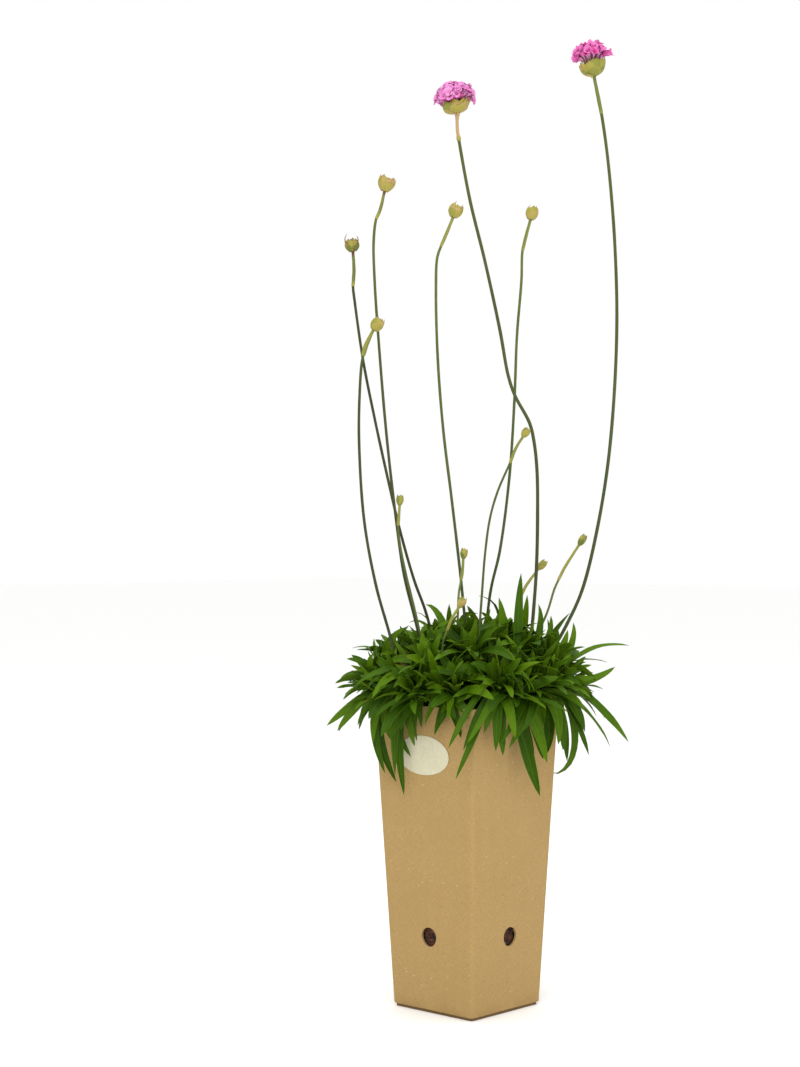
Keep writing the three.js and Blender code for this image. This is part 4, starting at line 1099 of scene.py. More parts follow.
# Scales that stand out of a head, by its number: turn in degrees, low, high, half turn, stand, flare, look
STRAY_POINT = 0.35
STRAY_SCALES = {
    3: [(-165, 0.08, 0.98, 46, 0.35, 0.03, (0.55, 0.1, 0)), (150, 0.2, 0.94, 40, 0.2, 0.02, (0.4, 0.1, 0)),
        (-35, 0.2, 0.9, 30, 0.2, 0.03, (0.2, 0.5, 0.9)), (5, 0.15, 0.88, 34, 0.4, 0.05, (0.2, 0.5, 0.9)),
        (40, 0.2, 0.92, 30, 0.2, 0.03, (0.2, 0.5, 0.9))],
    4: [(-158, 0.0, 0.8, 46, 0.35, 0.0, (0.5, 2.4, 0)), (-100, 0.05, 0.9, 26, 0.25, 0.0, (0.5, 1.2, 0))],
    6: [(-120, 0.3, 1.08, 20, 0.1, 0.02, (0.3, 0.5, 0.6)), (-20, 0.2, 1.0, 30, 0.3, 0.05, (0.5, 0.2, 0))],
}
# Curled dark spikes on a head: turn, how far out and how high it bends, and how far out and high it ends
SPIKES = {4: [(-172, 0.5, 0.95, 0.26, 1.34), (8, 0.5, 0.95, 0.42, 1.12)]}
print("stray scales on heads:", list(STRAY_SCALES), "spikes on:", list(SPIKES))

# %% Buds
def add_spike(form, head, spec, spike, key):
    turn, out, bend, end_out, end = spike
    outward = around(head, math.radians(turn))
    size, height = spec[1:]
    ends = [(out * 0.9, 0.6), (out * 1.1, bend * 0.9), (out, (bend + end) / 2), (end_out, end)]
    path = bezier(*(head["base"] + outward * o * size + head["axis"] * h * height for o, h in ends),
                  np.linspace(0, 1, 8))[0]
    add_tube(form, path, np.array([0.5, 0.5, 0.46, 0.42, 0.36, 0.3, 0.2, 0.08]), 8, (0.1, 2.0, 0),
             seed=draw(key, 33))


def add_strays(form, head, spec, strays, first_key, point):
    for i, (turn, low, high, half_turn, stand, flare, look) in enumerate(strays):
        add_scale(form, head, spec, math.radians(turn), (low, high), half_turn, stand, first_key + i, look,
                  flare, point)


def add_bud(form, stalk):
    key = stalk["number"]
    head = head_frame(stalk)
    big = stalk["size"] > BIG_HEAD
    spec = (ball(stalk["open"]), stalk["size"] * 0.93 - 0.3 * big, head["height"])
    green, brown, pink = stalk["head_look"]
    add_core(form, head, spec, 0.84, (green, brown + 0.3, 0))
    for ring, (count, low, high, half_turn, stand, point) in enumerate(BIG_RINGS if big else SMALL_RINGS):
        for i in range(count):
            scale_key = key * 100 + ring * 10 + i
            turn = 2 * math.pi * (i + 0.5 * ring) / count + between(-0.3, 0.3, scale_key, 1) + key
            top = high * between(0.93, 1.05, scale_key, 2)
            blush = 0.6 * pink * (draw(scale_key, 5) < 0.6)
            look = (green * between(0.35, 1.5, scale_key, 3), brown * between(0.5, 1.6, scale_key, 4), blush)
            flare = 0.05 * stalk["open"] * between(0.3, 1.4, scale_key, 6)
            add_scale(form, head, spec, turn, (low, top), half_turn, stand, scale_key, look, flare, point)
    add_strays(form, head, spec, STRAY_SCALES.get(key, ()), key * 100 + 60, STRAY_POINT)
    for i, spike in enumerate(SPIKES.get(key, ())):
        add_spike(form, head, spec, spike, key * 100 + 80 + i)


print("buds to build:", len(STALKS) - len(BLOOMING) + len(YOUNG_BUDS))

# %% [markdown]
# ## Bracts and stems
# A bract is straw-coloured paper, green in its middle and brown along its torn edge, and in an older bud it
# blushes at its tip. Each scale could have a material of its own. Instead one material reads the look of
# each scale, so every scale differs and all keep the same paper. The stems are dark green and ribbed.

# %% Papery bracts
def papery_material():
    material, tree, spot_vector, spot, look = sheet_material("papery_bract", 0.62)
    side = math_node(tree, "ABSOLUTE", spot["X"])
    veins = streaks(tree, spot_vector, 5, 1.0)
    cloud = mottle(tree, 140, 1.0)
    colour = mix_colour(tree, ramp(tree, cloud, 0.35, 0.65), paint("aa8655"), paint("b49368"))
    inside = math_node(tree, "MULTIPLY_ADD", ramp(tree, side, 1.0, 0.5), 0.35, 0.65)
    greened = math_node(tree, "MULTIPLY", look["X"], inside)
    for low, high, code in ((0.0, 0.4, "998e34"), (0.35, 0.75, "7f8028"), (0.7, 1.1, "5b6718")):
        colour = over(tree, colour, ramp(tree, greened, low, high), code)
    rim = math_node(tree, "MAXIMUM", ramp(tree, side, 0.75, 1.0), ramp(tree, spot["Y"], 0.8, 1.0))
    browned = math_node(tree, "MULTIPLY", look["Y"], math_node(tree, "MULTIPLY_ADD", cloud, 0.5, rim))
    colour = over(tree, colour, ramp(tree, browned, 0.1, 1.1), "5c3218")
    colour = over(tree, colour, ramp(tree, veins, 0.5, 0.72), "6c7228", 0.3)
    colour = over(tree, colour, ramp(tree, spot["Y"], 0.66, 0.96), "9c5a4e", look["Z"])
    return finish_material(material, colour, veins, 0.3, 0.0002)


PAPERY = papery_material()
print("material:", PAPERY.name, "nodes:", len(PAPERY.node_tree.nodes))

# %% Green stems
def stem_material():
    material, tree, spot_vector, _, look = sheet_material("stem_green", 0.6, Specular_IOR_Level=0.2)
    cloud = mottle(tree, 300)
    ribs = streaks(tree, spot_vector, 14, 5)
    colour = mix_colour(tree, ramp(tree, cloud, 0.35, 0.65), paint("5f7028"), paint("6c7b33"))
    colour = over(tree, colour, ramp(tree, look["X"], 0.0, 1.05), "252f16")
    colour = over(tree, colour, look["Z"], "6d7c3a")
    colour = over(tree, colour, look["Y"], "5a4028", ramp(tree, cloud, 0.3, 0.6))
    colour = over(tree, colour, ramp(tree, ribs, 0.45, 0.68), "6f7f45", 0.2)
    return finish_material(material, colour, ribs, 0.3, 0.0002)


STEM = stem_material()
print("material:", STEM.name, "nodes:", len(STEM.node_tree.nodes))

# %% Build the stems and the closed heads
for number, stalk in enumerate(STALKS, 1):
    stem = Form()
    add_stem(stem, stalk)
    stem.build(f"stem_{number:02d}", STEM, "stem", f"stalk_{number:02d}")
    if number not in BLOOMING:
        head = Form()
        add_sheath(head, stalk)
        add_bud(head, stalk)
        piece = head.build(f"scaly_bud_{number:02d}", PAPERY, "bract", f"bud_{number:02d}")
        print(piece.name, "faces:", len(piece.data.polygons), end="; ")
print()

# %% Young buds
for i, stalk in enumerate(YOUNG_BUDS, 1):
    bud = Form()
    path = catmull_rom([*stem_points(stalk), on_stalk(stalk, stalk["middle"])], STEM_SPACING)
    shares = np.linspace(0, 1, len(path))
    add_tube(bud, path, 0.9 - 0.1 * shares, STEM_SIDES, (0.9, 0.1, 0))
    add_bud(bud, stalk)
    bud.build(f"low_bud_{i:02d}", PAPERY, "young_bud", f"young_bud_{i:02d}")
print("young buds:", len(YOUNG_BUDS))

# %% [markdown]
# ## Open blooms
# An open head is a shallow cup of bracts that holds a dome of fifty or more small flowers. Each flower is a
# thin papery funnel with five pink petals, notched at the tip and darker in the throat. A bumpy pink ball
# would do from afar, but the gaps between the flowers are what makes the head look light. So every
# floret is modelled: a funnel, five petals and five stamens, all turned outwards from the heart of the cup.

# %% Cups
CUP_RINGS = [(4, -0.02, 0.52, 52, 0.35, 0.3), (5, 0.02, 0.84, 46, 0.15, 0.2), (7, 0.1, 1.0, 34, -0.15, 0.15)]
# What differs between the two blooms, by number. cup holds the bowl's foot, fill and curve. count florets
# stand round the heart, down to the share lowest, with their mouths mouth mm away, or flat times that
# upwards. petal is a petal's length, and broad its half width as a share of that. lean is how far the petals
# open at first and at last, in degrees, and depth how deep the pink is. inner gives the heights of the pink
# ball under them, hang the mouths of florets that hang out, and hang_up how far these face up.
BLOOMS = {
    1: {"cup": (0.2, 2.6, 0.4), "count": 64, "lowest": 0.15, "mouth": 12.0, "petal": 3.2, "broad": 0.66,
        "lean": (28, 86), "depth": 0.0, "flat": 0.92,
        "inner": (-0.02, 0.04, 0.2, 0.42, 0.6, 0.72), "hang": [(14.2, 2, 0.6)], "hang_up": -3.5},
    2: {"cup": (0.16, 2.2, 0.6), "count": 48, "lowest": 0.33, "mouth": 9.0, "petal": 4.6, "broad": 0.46,
        "lean": (8, 55), "depth": 0.5, "flat": 1.0,
        "inner": (0.42, 0.46, 0.55, 0.68, 0.78, 0.86), "hang": [(12.6, 1, 4.4), (-11.6, 2, 1.6)],
        "hang_up": 1.5},
}
# Bracts that stand out of a cup: turn in degrees, low, high, half turn, stand, flare, look
BRACT_POINT = 0.3
STRAY_BRACTS = {
    1: [(-8, 0.3, 0.95, 30, 0.5, 0.14, (0.3, 0.3, 0)), (-28, 0.2, 1.06, 26, 0.4, 0.05, (0.25, 0.5, 0.3)),
        (-140, 0.16, 1.02, 40, 0.3, 0.02, (0.7, 0.1, 0)), (-128, -0.2, 0.1, 14, 0.5, 0.03, (0.0, 0.3, 0))],
    2: [(-140, -0.14, 0.12, 30, 0.5, 0.12, (0.3, 0.0, 0)), (-20, 0.2, 1.1, 34, 0.3, 0.03, (0.6, 0.1, 0)),
        (-75, 0.3, 1.04, 26, 0.2, 0.01, (0.8, 0.1, 0))],
}


def add_cup(form, stalk):
    key = stalk["number"]
    head = head_frame(stalk)
    green, brown, _ = stalk["head_look"]
    spec = (bowl(*BLOOMS[key]["cup"]), stalk["size"] - 0.6, head["height"])
    add_core(form, head, spec, 0.6, (green, brown, 0))
    for ring, (count, low, high, half_turn, stand, point) in enumerate(CUP_RINGS):
        for i in range(count):
            scale_key = key * 100 + ring * 10 + i
            turn = 2 * math.pi * (i + 0.5 * ring) / count + between(-0.2, 0.2, scale_key, 1)
            top = high * between(0.88, 1.06, scale_key, 2)
            look = (green * between(0.4, 1.5, scale_key, 3), brown * between(0.2, 1.6, scale_key, 4), 0.0)
            flare = between(0.0, 0.03, scale_key, 5)
            add_scale(form, head, spec, turn, (low, top), half_turn, stand, scale_key, look, flare, point)
    add_strays(form, head, spec, STRAY_BRACTS[key], key * 100 + 70, BRACT_POINT)


print("bracts of a cup:", [sum(ring[0] for ring in CUP_RINGS) + len(STRAY_BRACTS[key]) for key in BLOOMING])

# %% Florets
PETALS = 5
PETAL_ROWS = 8
SEAT_SHARE = 0.62


def petal_thickness(s, t):
    return 0.2 * (1 - 0.5 * np.abs(s)) * (1 - 0.4 * t)


def add_floret(form, head, root, mouth, out, bloom, key):
    """A funnel from its root to its mouth, five petals that open from out, and a stamen between each two."""
    first = unit(np.cross(out, [0.31, 0.22, 0.92]))
    second = np.cross(out, first)
    reach = np.linalg.norm(mouth - root)
    bends = (root, root + head["axis"] * reach * 0.45, mouth - out * reach * 0.3, mouth)
    path = bezier(*bends, np.linspace(0, 1, 7))[0]
    add_tube(form, path, np.array([0.22, 0.24, 0.27, 0.34, 0.52, 0.8, 1.0]), 8, (0, 0, 1), seed=draw(key, 41))
    lean_from, lean_to = (math.radians(angle + between(-10, 10, key, 42)) for angle in bloom["lean"])
    spin = 2 * math.pi * draw(key, 43)
    tone = draw(key, 44)
    for k in range(PETALS):
        seed = draw(key, 45, k)
        turn = spin + k * 2 * math.pi / PETALS + between(-0.12, 0.12, key, 46, k)
        outward = first * math.cos(turn) + second * math.sin(turn)
        beside = np.cross(out, outward)
        length = bloom["petal"] * between(0.84, 1.08, key, 47, k)
        curl = between(-0.25, 0.35, key, 50, k)

        def surface(s, t):
            t = t ** 0.8
            run = t * (1 - 0.1 * np.exp(-(s / 0.32) ** 2) * t ** 4)
            angle = lean_from + (lean_to - lean_from) * run / 2
            broad = length * (0.1 + (bloom["broad"] - 0.1) * t ** 0.8) * (1 - t ** 4.5) ** 0.5 + 0.04
            cupped = 0.3 * broad * s ** 2 + 0.2 * np.sin(s * 4.4 + seed * 9) * t - curl * length * t ** 3
            level = (0.45 + length * run * np.sin(angle))[..., None]
            rise = (length * run * np.cos(angle) + cupped)[..., None]
            return mouth + outward * level + out * rise + beside * (s * broad)[..., None]

        look = (tone, bloom["depth"], 0)
        add_sheet(form, surface, PETAL_ROWS, EVEN_COLUMNS, petal_thickness, seed, look, look)
    for k in range(PETALS):
        turn = spin + (k + 0.5) * 2 * math.pi / PETALS
        outward = first * math.cos(turn) + second * math.sin(turn)
        tip = mouth + out * between(0.5, 1.3, key, 48, k) + outward * between(0.3, 0.6, key, 49, k)
        path = np.array([mouth, mouth + (tip - mouth) * 0.72, mouth + (tip - mouth) * 0.8, tip])
        add_tube(form, path, np.array([0.07, 0.07, 0.17, 0.1]), 5, (0, 1, 0))


def add_florets(form, stalk):
    """The dome: a mound and a ball of closed pink flowers under the florets that are seen, deep pink as
    painted shade in their gaps.
    """
    key = stalk["number"]
    head = head_frame(stalk)
    axis = head["axis"]
    bloom = BLOOMS[key]
    seat = head["base"] + axis * (SEAT_SHARE * head["height"])
    heart = head["base"] + axis * head["height"]
    wide = stalk["size"]
    mound = np.array([seat + axis * h for h in (-0.8, 0.2, 0.9, 1.4, 1.7)])
    add_tube(form, mound, wide * np.array([0.3, 0.36, 0.3, 0.2, 0.06]), 16, (0.2, 0, 0.9))
    # The ball's look is the deep pink, as painted shade in the gaps between the florets.
    inner = np.array([heart + axis * bloom["mouth"] * h for h in bloom["inner"]])
    add_tube(form, inner, bloom["mouth"] * np.array([0.3, 0.58, 0.7, 0.62, 0.42, 0.12]), 16, (0.1, 0.5, 0))
    for i in range(bloom["count"]):
        floret_key = key * 100 + i
        rise = 1 - (i + 0.5) / bloom["count"] * (1 - bloom["lowest"])
        turn = i * GOLDEN_TURN + between(-0.25, 0.25, floret_key, 51)
        aside = around(head, turn)
        level = math.sqrt(1 - rise * rise)
        away = aside * level + axis * rise * bloom["flat"]
        mouth = heart + away * bloom["mouth"] * between(0.86, 1.06, floret_key, 52)
        root = seat + aside * wide * 0.32 * level
        add_floret(form, head, root, mouth, aside * level + axis * rise, bloom, floret_key)
    for i, place in enumerate(bloom["hang"]):
        mouth = heart + at(*place)
        out = unit(mouth - heart + axis * bloom["hang_up"])
        side = unit(at(place[0], place[1], 0))
        add_floret(form, head, seat + side * wide * 0.36, mouth - side * 3, out, bloom, key * 100 + 80 + i)


print("florets of the blooms:", [bloom["count"] + len(bloom["hang"]) for bloom in BLOOMS.values()])

# %% [markdown]
# ## Petal colours
# A petal is pink, deeper in the throat and along one line in its middle. Real petals let some light through.
# At this size two lighter pinks, mixed from root to tip, give the same look with a plain surface.

# %% Pink petals
def petal_material():
    material, tree, spot_vector, spot, look = sheet_material("pink_petal", 0.6)
    side = math_node(tree, "ABSOLUTE", spot["X"])
    veins = streaks(tree, spot_vector, 6, 1.0)
    tone = math_node(tree, "MULTIPLY_ADD", look["X"], 0.6, math_node(tree, "MULTIPLY", spot["Y"], 0.5))
    colour = mix_colour(tree, ramp(tree, tone, 0.1, 1.0), paint("cc70b0"), paint("dc92c6"))
    # deep pink is the second bloom's own deeper tone, and painted shade on the ball under the florets
    deep = mix_colour(tree, ramp(tree, tone, 0.1, 1.0), paint("d04c9c"), paint("e27cbe"))
    colour = mix_colour(tree, ramp(tree, look["Y"], 0.1, 0.4), colour, deep)
    line = math_node(tree, "MULTIPLY", ramp(tree, side, 0.36, 0.0), ramp(tree, spot["Y"], 0.9, 0.3))
    streak = math_node(tree, "MULTIPLY_ADD", ramp(tree, veins, 0.48, 0.68), 0.3, line)
    colour = over(tree, colour, streak, "c0459a", 0.35)
    colour = over(tree, colour, ramp(tree, spot["Y"], 0.32, 0.04), "b8407f", 0.4)
    colour = over(tree, colour, ramp(tree, look["Y"], 0.7, 0.95), "d9a0a8")
    funnel = mix_colour(tree, ramp(tree, spot["Y"], 0.3, 0.85), paint("a5876e"), paint("d98fc0"))
    colour = mix_colour(tree, look["Z"], colour, funnel)
    return finish_material(material, colour, veins, 0.25, 0.0002)


PETAL = petal_material()
print("material:", PETAL.name, "nodes:", len(PETAL.node_tree.nodes))

# %% Build the open heads
for number in BLOOMING:
    stalk = STALKS[number - 1]
    cup = Form()
    add_sheath(cup, stalk)
    add_cup(cup, stalk)
    cup.build(f"cup_{number:02d}", PAPERY, "bract", f"bloom_{number:02d}")
    dome = Form()
    add_florets(dome, stalk)
    piece = dome.build(f"petals_{number:02d}", PETAL, "petal", f"florets_{number:02d}")
    print(piece.name, "faces:", len(piece.data.polygons), end="; ")
print()

# %% [markdown]
# ## Where the leaves grow
# The solid model has one node for each rosette, with its leaves already fused to the crown. Their points
# can't be turned into fine leaves directly, but the rule that placed them can be repeated: each leaf had
# several tries, and the one that was kept has its tip among the node's corners. So the same tries are made
# here, and a leaf is taken where its tip is found. The fine leaf then lies right where the coarse one does.
# The leaves that hang over the pot's front each get a few companions, which the coarse model has no room for.

# %% The plant's own layout
CROWN_RADIUS = 4.6
LEAF_SEAT = 0.72
CHANNEL = math.radians(17)
NECK = 0.22
BLADE_FRONT = 1.357
BLADE_FULLNESS = 0.7
GROWN_TRIES = 60
SMALLER_EACH_TRY = 0.007
SAME_PLACE = 0.05
# How far a known leaf was tried towards the viewer, in mm
ASIDE = [0, 2, -2, 4, -4, 7, -7, 10, -10, 14, -14, 18, -18]
COMPANIONS = 3
# Which known leaves drape over the pot's front: the height, depth and sideways reach of their tips
DRAPED_BELOW = 212
DRAPED_BEFORE = 15
DRAPED_MIDDLE = 2
DRAPED_REACH = 68

# Foot of each rosette (across, towards), height of its crown, number of its leaves, length of the longest
ROSETTES = [
    (-46, 2, 206, 7, 56), (-30, 18, 206, 9, 58), (-16, 34, 205, 9, 54), (16, 32, 205, 10, 56),
    (36, 14, 206, 9, 62), (47, 2, 206, 8, 60), (-4, 12, 209, 11, 56), (-26, 0, 208, 11, 54),
    (16, 6, 209, 11, 58), (-32, -17, 206, 13, 62), (-10, -18, 209, 11, 56), (14, -18, 209, 12, 58),
    (30, -19, 206, 12, 64), (-13, -36, 205, 14, 66), (10, -39, 205, 13, 66),
]

# Leaves that stand out of the clump: rosette, bend and tip (across, towards, up), width, facing in degrees
# (0 is flat, 90 towards the viewer), and lift, which arches them in mm
KNOWN_LEAVES = [
    (10, -58, -20, 239, -76, -25, 234, 6, 0, 0), (1, -62, 6, 228, -79, 8, 228, 8, 50, 0),
    (1, -68, 12, 226, -62, 14, 233, 7, 80, 0), (1, -58, 6, 238, -41, 6, 250, 8, 70, 0),
    (8, -36, 0, 241, -41, 0, 248, 5, 0, 0), (2, -52, 22, 238, -57, 24, 232, 6, 60, 4),
    (1, -60, 4, 220, -73, 4, 214, 10, 60, 2), (1, -66, 8, 213, -71, 8, 210, 5, 20, 0),
    (1, -69, 2, 213, -81, 2, 202, 6, 10, 0), (1, -71, 10, 206, -91, 10, 184, 9, 55, 8),
    (1, -68, 16, 208, -84, 18, 182, 10, 50, 10), (1, -64, -4, 208, -71, -6, 181, 6, 40, 8),
    (2, -58, 18, 210, -63, 16, 176, 7, 60, 8), (2, -68, 24, 203, -48, 22, 149, 8, 80, 10),
    (2, -46, 30, 212, -43, 26, 142, 8, 90, 8), (3, -38, 38, 212, -49, 38, 180, 9, 80, 4),
    (3, -38, 34, 211, -33, 37, 178, 6, 40, 4), (3, -11, 47, 213, -22, 50, 183, 8, 60, 4),
    (3, -15, 50, 213, -5, 56, 182, 9, 90, 4), (4, 14, 58, 218, -8, 67, 157, 6, 40, 4),
    (4, 21, 58, 213, 20, 60, 171, 10, 90, 4), (4, 33, 44, 210, 44, 36, 142, 14, 90, 10),
    (5, 40, 52, 204, 26, 58, 175, 8, 60, 10), (5, 54, 34, 203, 52, 34, 167, 12, 80, 8),
    (5, 67, 16, 210, 78, 14, 181, 13, 70, 6), (6, 88, -12, 154, 56, -12, 151, 7, 70, 45),
    (6, 62, 12, 205, 66, 10, 162, 7, 80, 8), (6, 70, 6, 206, 79, 6, 165, 7, 40, 8),
    (5, 80, 4, 203, 94, 0, 170, 6, 40, 10), (6, 88, -4, 205, 106, -4, 172, 8, 60, 14),
    (13, 80, -10, 214, 93, -12, 189, 6, 45, 6), (6, 83, 0, 214, 83, -1, 201, 7, 30, 4),
    (5, 67, 8, 216, 70, 8, 202, 8, 60, 4), (6, 81, -2, 209, 98, -2, 223, 8, 55, 4),
    (6, 82, -10, 240, 108, -10, 237, 6, 15, 0), (13, 76, -16, 231, 94, -14, 226, 6, 20, 0),
    (6, 69, 0, 212, 71, 0, 220, 5, 10, 0), (6, 73, -4, 236, 71, -4, 252, 7, 80, 0),
    (13, 59, -12, 246, 69, -10, 258, 7, 50, 0), (6, 62, 8, 228, 65, 10, 248, 10, 80, 0),
    (5, 57, 8, 244, 55, 6, 257, 7, 70, 0), (5, 52, 4, 250, 46, 4, 264, 7, 80, 0),
    (13, 41, -12, 250, 39, -8, 270, 8, 80, 0), (5, 33, 12, 258, 35, 10, 285, 9, 90, 0),
    (9, 26, 4, 251, 22, 4, 269, 9, 80, 0), (12, 29, -8, 266, 8, -4, 270, 6, 10, 0),
    (12, 11, -10, 252, 16, -6, 261, 7, 60, 0), (9, 17, 0, 250, 23, 0, 259, 8, 70, 0),
    (11, -11, -14, 250, -11, -10, 264, 8, 80, 0), (7, -16, 6, 264, -27, 4, 265, 8, 70, 0),
    (11, -24, -10, 258, -38, -8, 252, 6, 30, 0), (11, -23, -18, 258, -33, -16, 258, 6, 10, 0),
    (8, -32, 2, 246, -38, 0, 250, 5, 10, 0), (11, -3, -8, 267, 6, -4, 257, 10, 60, 0),
    (7, 2, 24, 236, 5, 28, 255, 10, 90, 0), (7, 20, 34, 242, 33, 44, 227, 10, 50, 6),
    (4, -9, 42, 233, -8, 45, 209, 7, 30, 12), (4, 31, 48, 226, 34, 50, 207, 8, 60, 6),
    (3, -34, 40, 223, -45, 42, 208, 8, 60, 8), (7, -19, 38, 228, -28, 46, 203, 9, 90, 8),
    (2, -50, 42, 227, -62, 42, 206, 8, 50, 8), (4, 4, 54, 212, -8, 58, 204, 6, 30, 4),
]
print("rosettes:", len(ROSETTES), "known leaves:", len(KNOWN_LEAVES))

# %% Repeat the growth
def leaf_root(number, side, height):
    across, towards, crown = ROSETTES[number - 1][:3]
    level = unit(np.array([side[0], side[1], 0.0]))
    return at(across, towards, crown - height) + level * CROWN_RADIUS * LEAF_SEAT


def known_leaf(entry, attempt):
    number, bend_a, bend_t, bend_u, tip_a, tip_t, tip_u, width, facing, lift = entry
    bend = at(bend_a, bend_t + ASIDE[attempt], bend_u)
    tip = at(tip_a, tip_t + ASIDE[attempt], tip_u)
    age = clamp((250 - tip_u) / 80, 0, 1)
    root = leaf_root(number, bend - at(*ROSETTES[number - 1][:2], 0), 1 + 7 * age)
    lean = root + (bend - root) * 0.45 + UP * (lift + 4)
    chord = unit(tip - root)
    turn = math.radians(facing)
    face = UP * math.cos(turn) + TOWARDS * math.sin(turn)
    side = unit(np.cross(face - chord * face.dot(chord), chord))
    return {"run": (root, lean, bend, tip), "side": side, "width": width, "age": age}


def grown_leaf(number, index, attempt, reach_share=1.0):
    across, towards, _, leaves, reach = ROSETTES[number - 1]
    age = 1 - (index + 0.5) / leaves
    chance = [0] + [draw(number, index, attempt, what) for what in range(1, 7)]
    turn = number * 1.3 + index * GOLDEN_TURN + (chance[1] - 0.5) * (0.5 + attempt * 0.1)
    side = at(math.cos(turn), math.sin(turn), 0)
    from_middle = math.hypot(across, towards)
    outward = (math.cos(turn) * across + math.sin(turn) * towards) / max(from_middle, 12)
    open_share = clamp(0.55 + outward * from_middle / 70, 0.15, 1)
    lean = math.radians(8 + (26 + 58 * age) * open_share + (chance[2] - 0.5) * (16 + attempt))
    droop = math.radians(14 + 66 * age * open_share + (chance[3] - 0.5) * 24)
    small = 1 - attempt * SMALLER_EACH_TRY
    length = reach * (0.62 + 0.38 * age) * (0.84 + 0.28 * chance[4]) * (0.74 + 0.26 * open_share)
    length *= small * reach_share

    def ray(angle):
        return side * math.sin(angle) + UP * math.cos(angle)

    root = leaf_root(number, side, 1 + 6 * age)
    lean_point = root + ray(lean * 0.6) * length * 0.36
    bend = lean_point + ray(lean + droop * 0.35) * length * 0.36
    tip = bend + ray(lean + droop) * length * 0.34
    level = unit(np.cross(UP, side))
    chord = unit(tip - root)
    roll = math.radians((chance[6] - 0.5) * 50)
    level = level * math.cos(roll) + np.cross(chord, level) * math.sin(roll) \
        + chord * chord.dot(level) * (1 - math.cos(roll))
    width = (7.5 + 4.5 * chance[5]) * small
    return {"run": (root, lean_point, bend, tip), "side": level, "width": width, "age": age}


print("tip of the first known leaf:", (known_leaf(KNOWN_LEAVES[0], 0)["run"][3]).round(1))

# %% Find the leaves of the solid model
def find_leaves():
    """The leaves of each rosette, taken where their tips are corners of its node."""
    trees = {}
    for number in range(1, len(ROSETTES) + 1):
        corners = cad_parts[f"rosette_{number:02d}"].data.vertices
        tree = KDTree(len(corners))
        for i, corner in enumerate(corners):
            tree.insert(corner.co / MM, i)
        tree.balance()
        trees[number] = tree
    found = {number: [] for number in trees}
    unsure = 0
    for entry in KNOWN_LEAVES:
        tries = [known_leaf(entry, attempt) for attempt in range(len(ASIDE))]
        match = [leaf for leaf in tries if trees[entry[0]].find(leaf["run"][3])[2] < SAME_PLACE]
        unsure += not match
        if match:
            found[entry[0]].append(match[0])
    for number, tree in trees.items():
        for index in range(ROSETTES[number - 1][3]):
            for attempt in range(GROWN_TRIES):
                leaf = grown_leaf(number, index, attempt)
                if tree.find(leaf["run"][3])[2] < SAME_PLACE:
                    found[number].append(leaf)
                    break
    return found, unsure

# %% Companions
def slim(width):
    """The solid leaves are broad, so that few of them fill the clump. This is the width of a real one."""
    return 2.2 + 0.45 * width


def companions(entry, key):
    """Leaves that hang over the pot beside a known leaf, a little shorter than it."""
    number, bend_a, bend_t, bend_u, tip_a, tip_t, tip_u, width, facing, lift = entry
    leaves = []
    for i in range(COMPANIONS):
        aside = between(3.5, 8, key, i, 61) * (1 if (i + key) % 2 else -1)
        up = between(2, 0.45 * (bend_u - tip_u), key, i, 62)
        bend = (bend_a + aside * 0.7, bend_t + between(0, 4, key, i, 63), bend_u + between(-1, 4, key, i, 64))
        tip = (tip_a + aside * between(0.6, 1.6, key, i, 65), tip_t + between(0, 5, key, i, 66), tip_u + up)
        wide = width * between(0.8, 1.1, key, i, 67)
        leaves.append(known_leaf((number, *bend, *tip, wide, facing * between(0.5, 1, key, i, 68), lift), 0))
    return leaves


found_leaves, unsure = find_leaves()
for key, entry in enumerate(KNOWN_LEAVES):
    if entry[6] < DRAPED_BELOW and entry[5] > DRAPED_BEFORE and abs(entry[4] - DRAPED_MIDDLE) < DRAPED_REACH:
        found_leaves[entry[0]].extend(companions(entry, key))
for leaf in (leaf for leaves in found_leaves.values() for leaf in leaves):
    leaf["width"] = slim(leaf["width"])
print("leaves found:", sum(len(leaves) for leaves in found_leaves.values()), "not found:", unsure)

# %% [markdown]
# ## Side shoots
# An old armeria is a cushion: short branches fan out under it, and each ends in its own small rosette, so
# the cushion shows many hearts of leaves one above the other. The solid model keeps only the fifteen main
# crowns with their broadest leaves. Here every branch is added with its leaves, turned outwards from the
# middle of the cushion, and the crowns get the rest of theirs. A leaf is tried a few times, and the try that
# keeps furthest from the stems and from the other leaves stays.

# %% Shoots
# Rosette that it branches from, end of the branch (across, towards, up), leaves, length of the longest
SHOOTS = [
    (8, -27, 8, 231, 14, 36), (11, -10, -4, 233, 13, 34), (1, -55, 6, 213, 12, 36), (1, -53, 15, 204, 11, 34),
    (2, -43, 25, 212, 13, 34), (3, -22, 30, 222, 14, 36), (3, -32, 38, 205, 12, 36), (3, -8, 43, 208, 13, 36),
    (7, 2, 24, 229, 14, 36), (4, 19, 36, 213, 13, 36), (9, 14, 4, 234, 13, 34), (9, 36, 8, 230, 13, 36),
    (6, 52, 2, 224, 12, 38), (5, 47, 20, 209, 13, 38), (4, 28, 37, 205, 12, 38), (6, 57, -2, 208, 12, 38),
    (10, -42, -10, 224, 13, 36), (10, -52, -20, 209, 12, 36), (10, -34, -34, 212, 13, 36),
    (11, -16, -22, 232, 13, 34), (14, -14, -48, 212, 13, 36), (15, 8, -52, 208, 12, 36),
    (12, 12, -30, 230, 13, 36), (15, 28, -40, 213, 13, 36), (13, 36, -22, 227, 13, 36),
    (13, 52, -20, 211, 12, 38), (7, -2, 8, 236, 13, 34), (12, 26, -10, 235, 13, 34),
]
CROWN_LEAVES = 18
LOWEST_CROWN_LEAF = 204
MIDDLE_CROWN = 208
CUSHION_HEART = at(4, -4, 182)
CUSHION_TOP = 320
BRANCH_KEY = 700
CROWN_KEY = 800
SHOOT_TRIES = 10
STEM_SPARE = 1.6
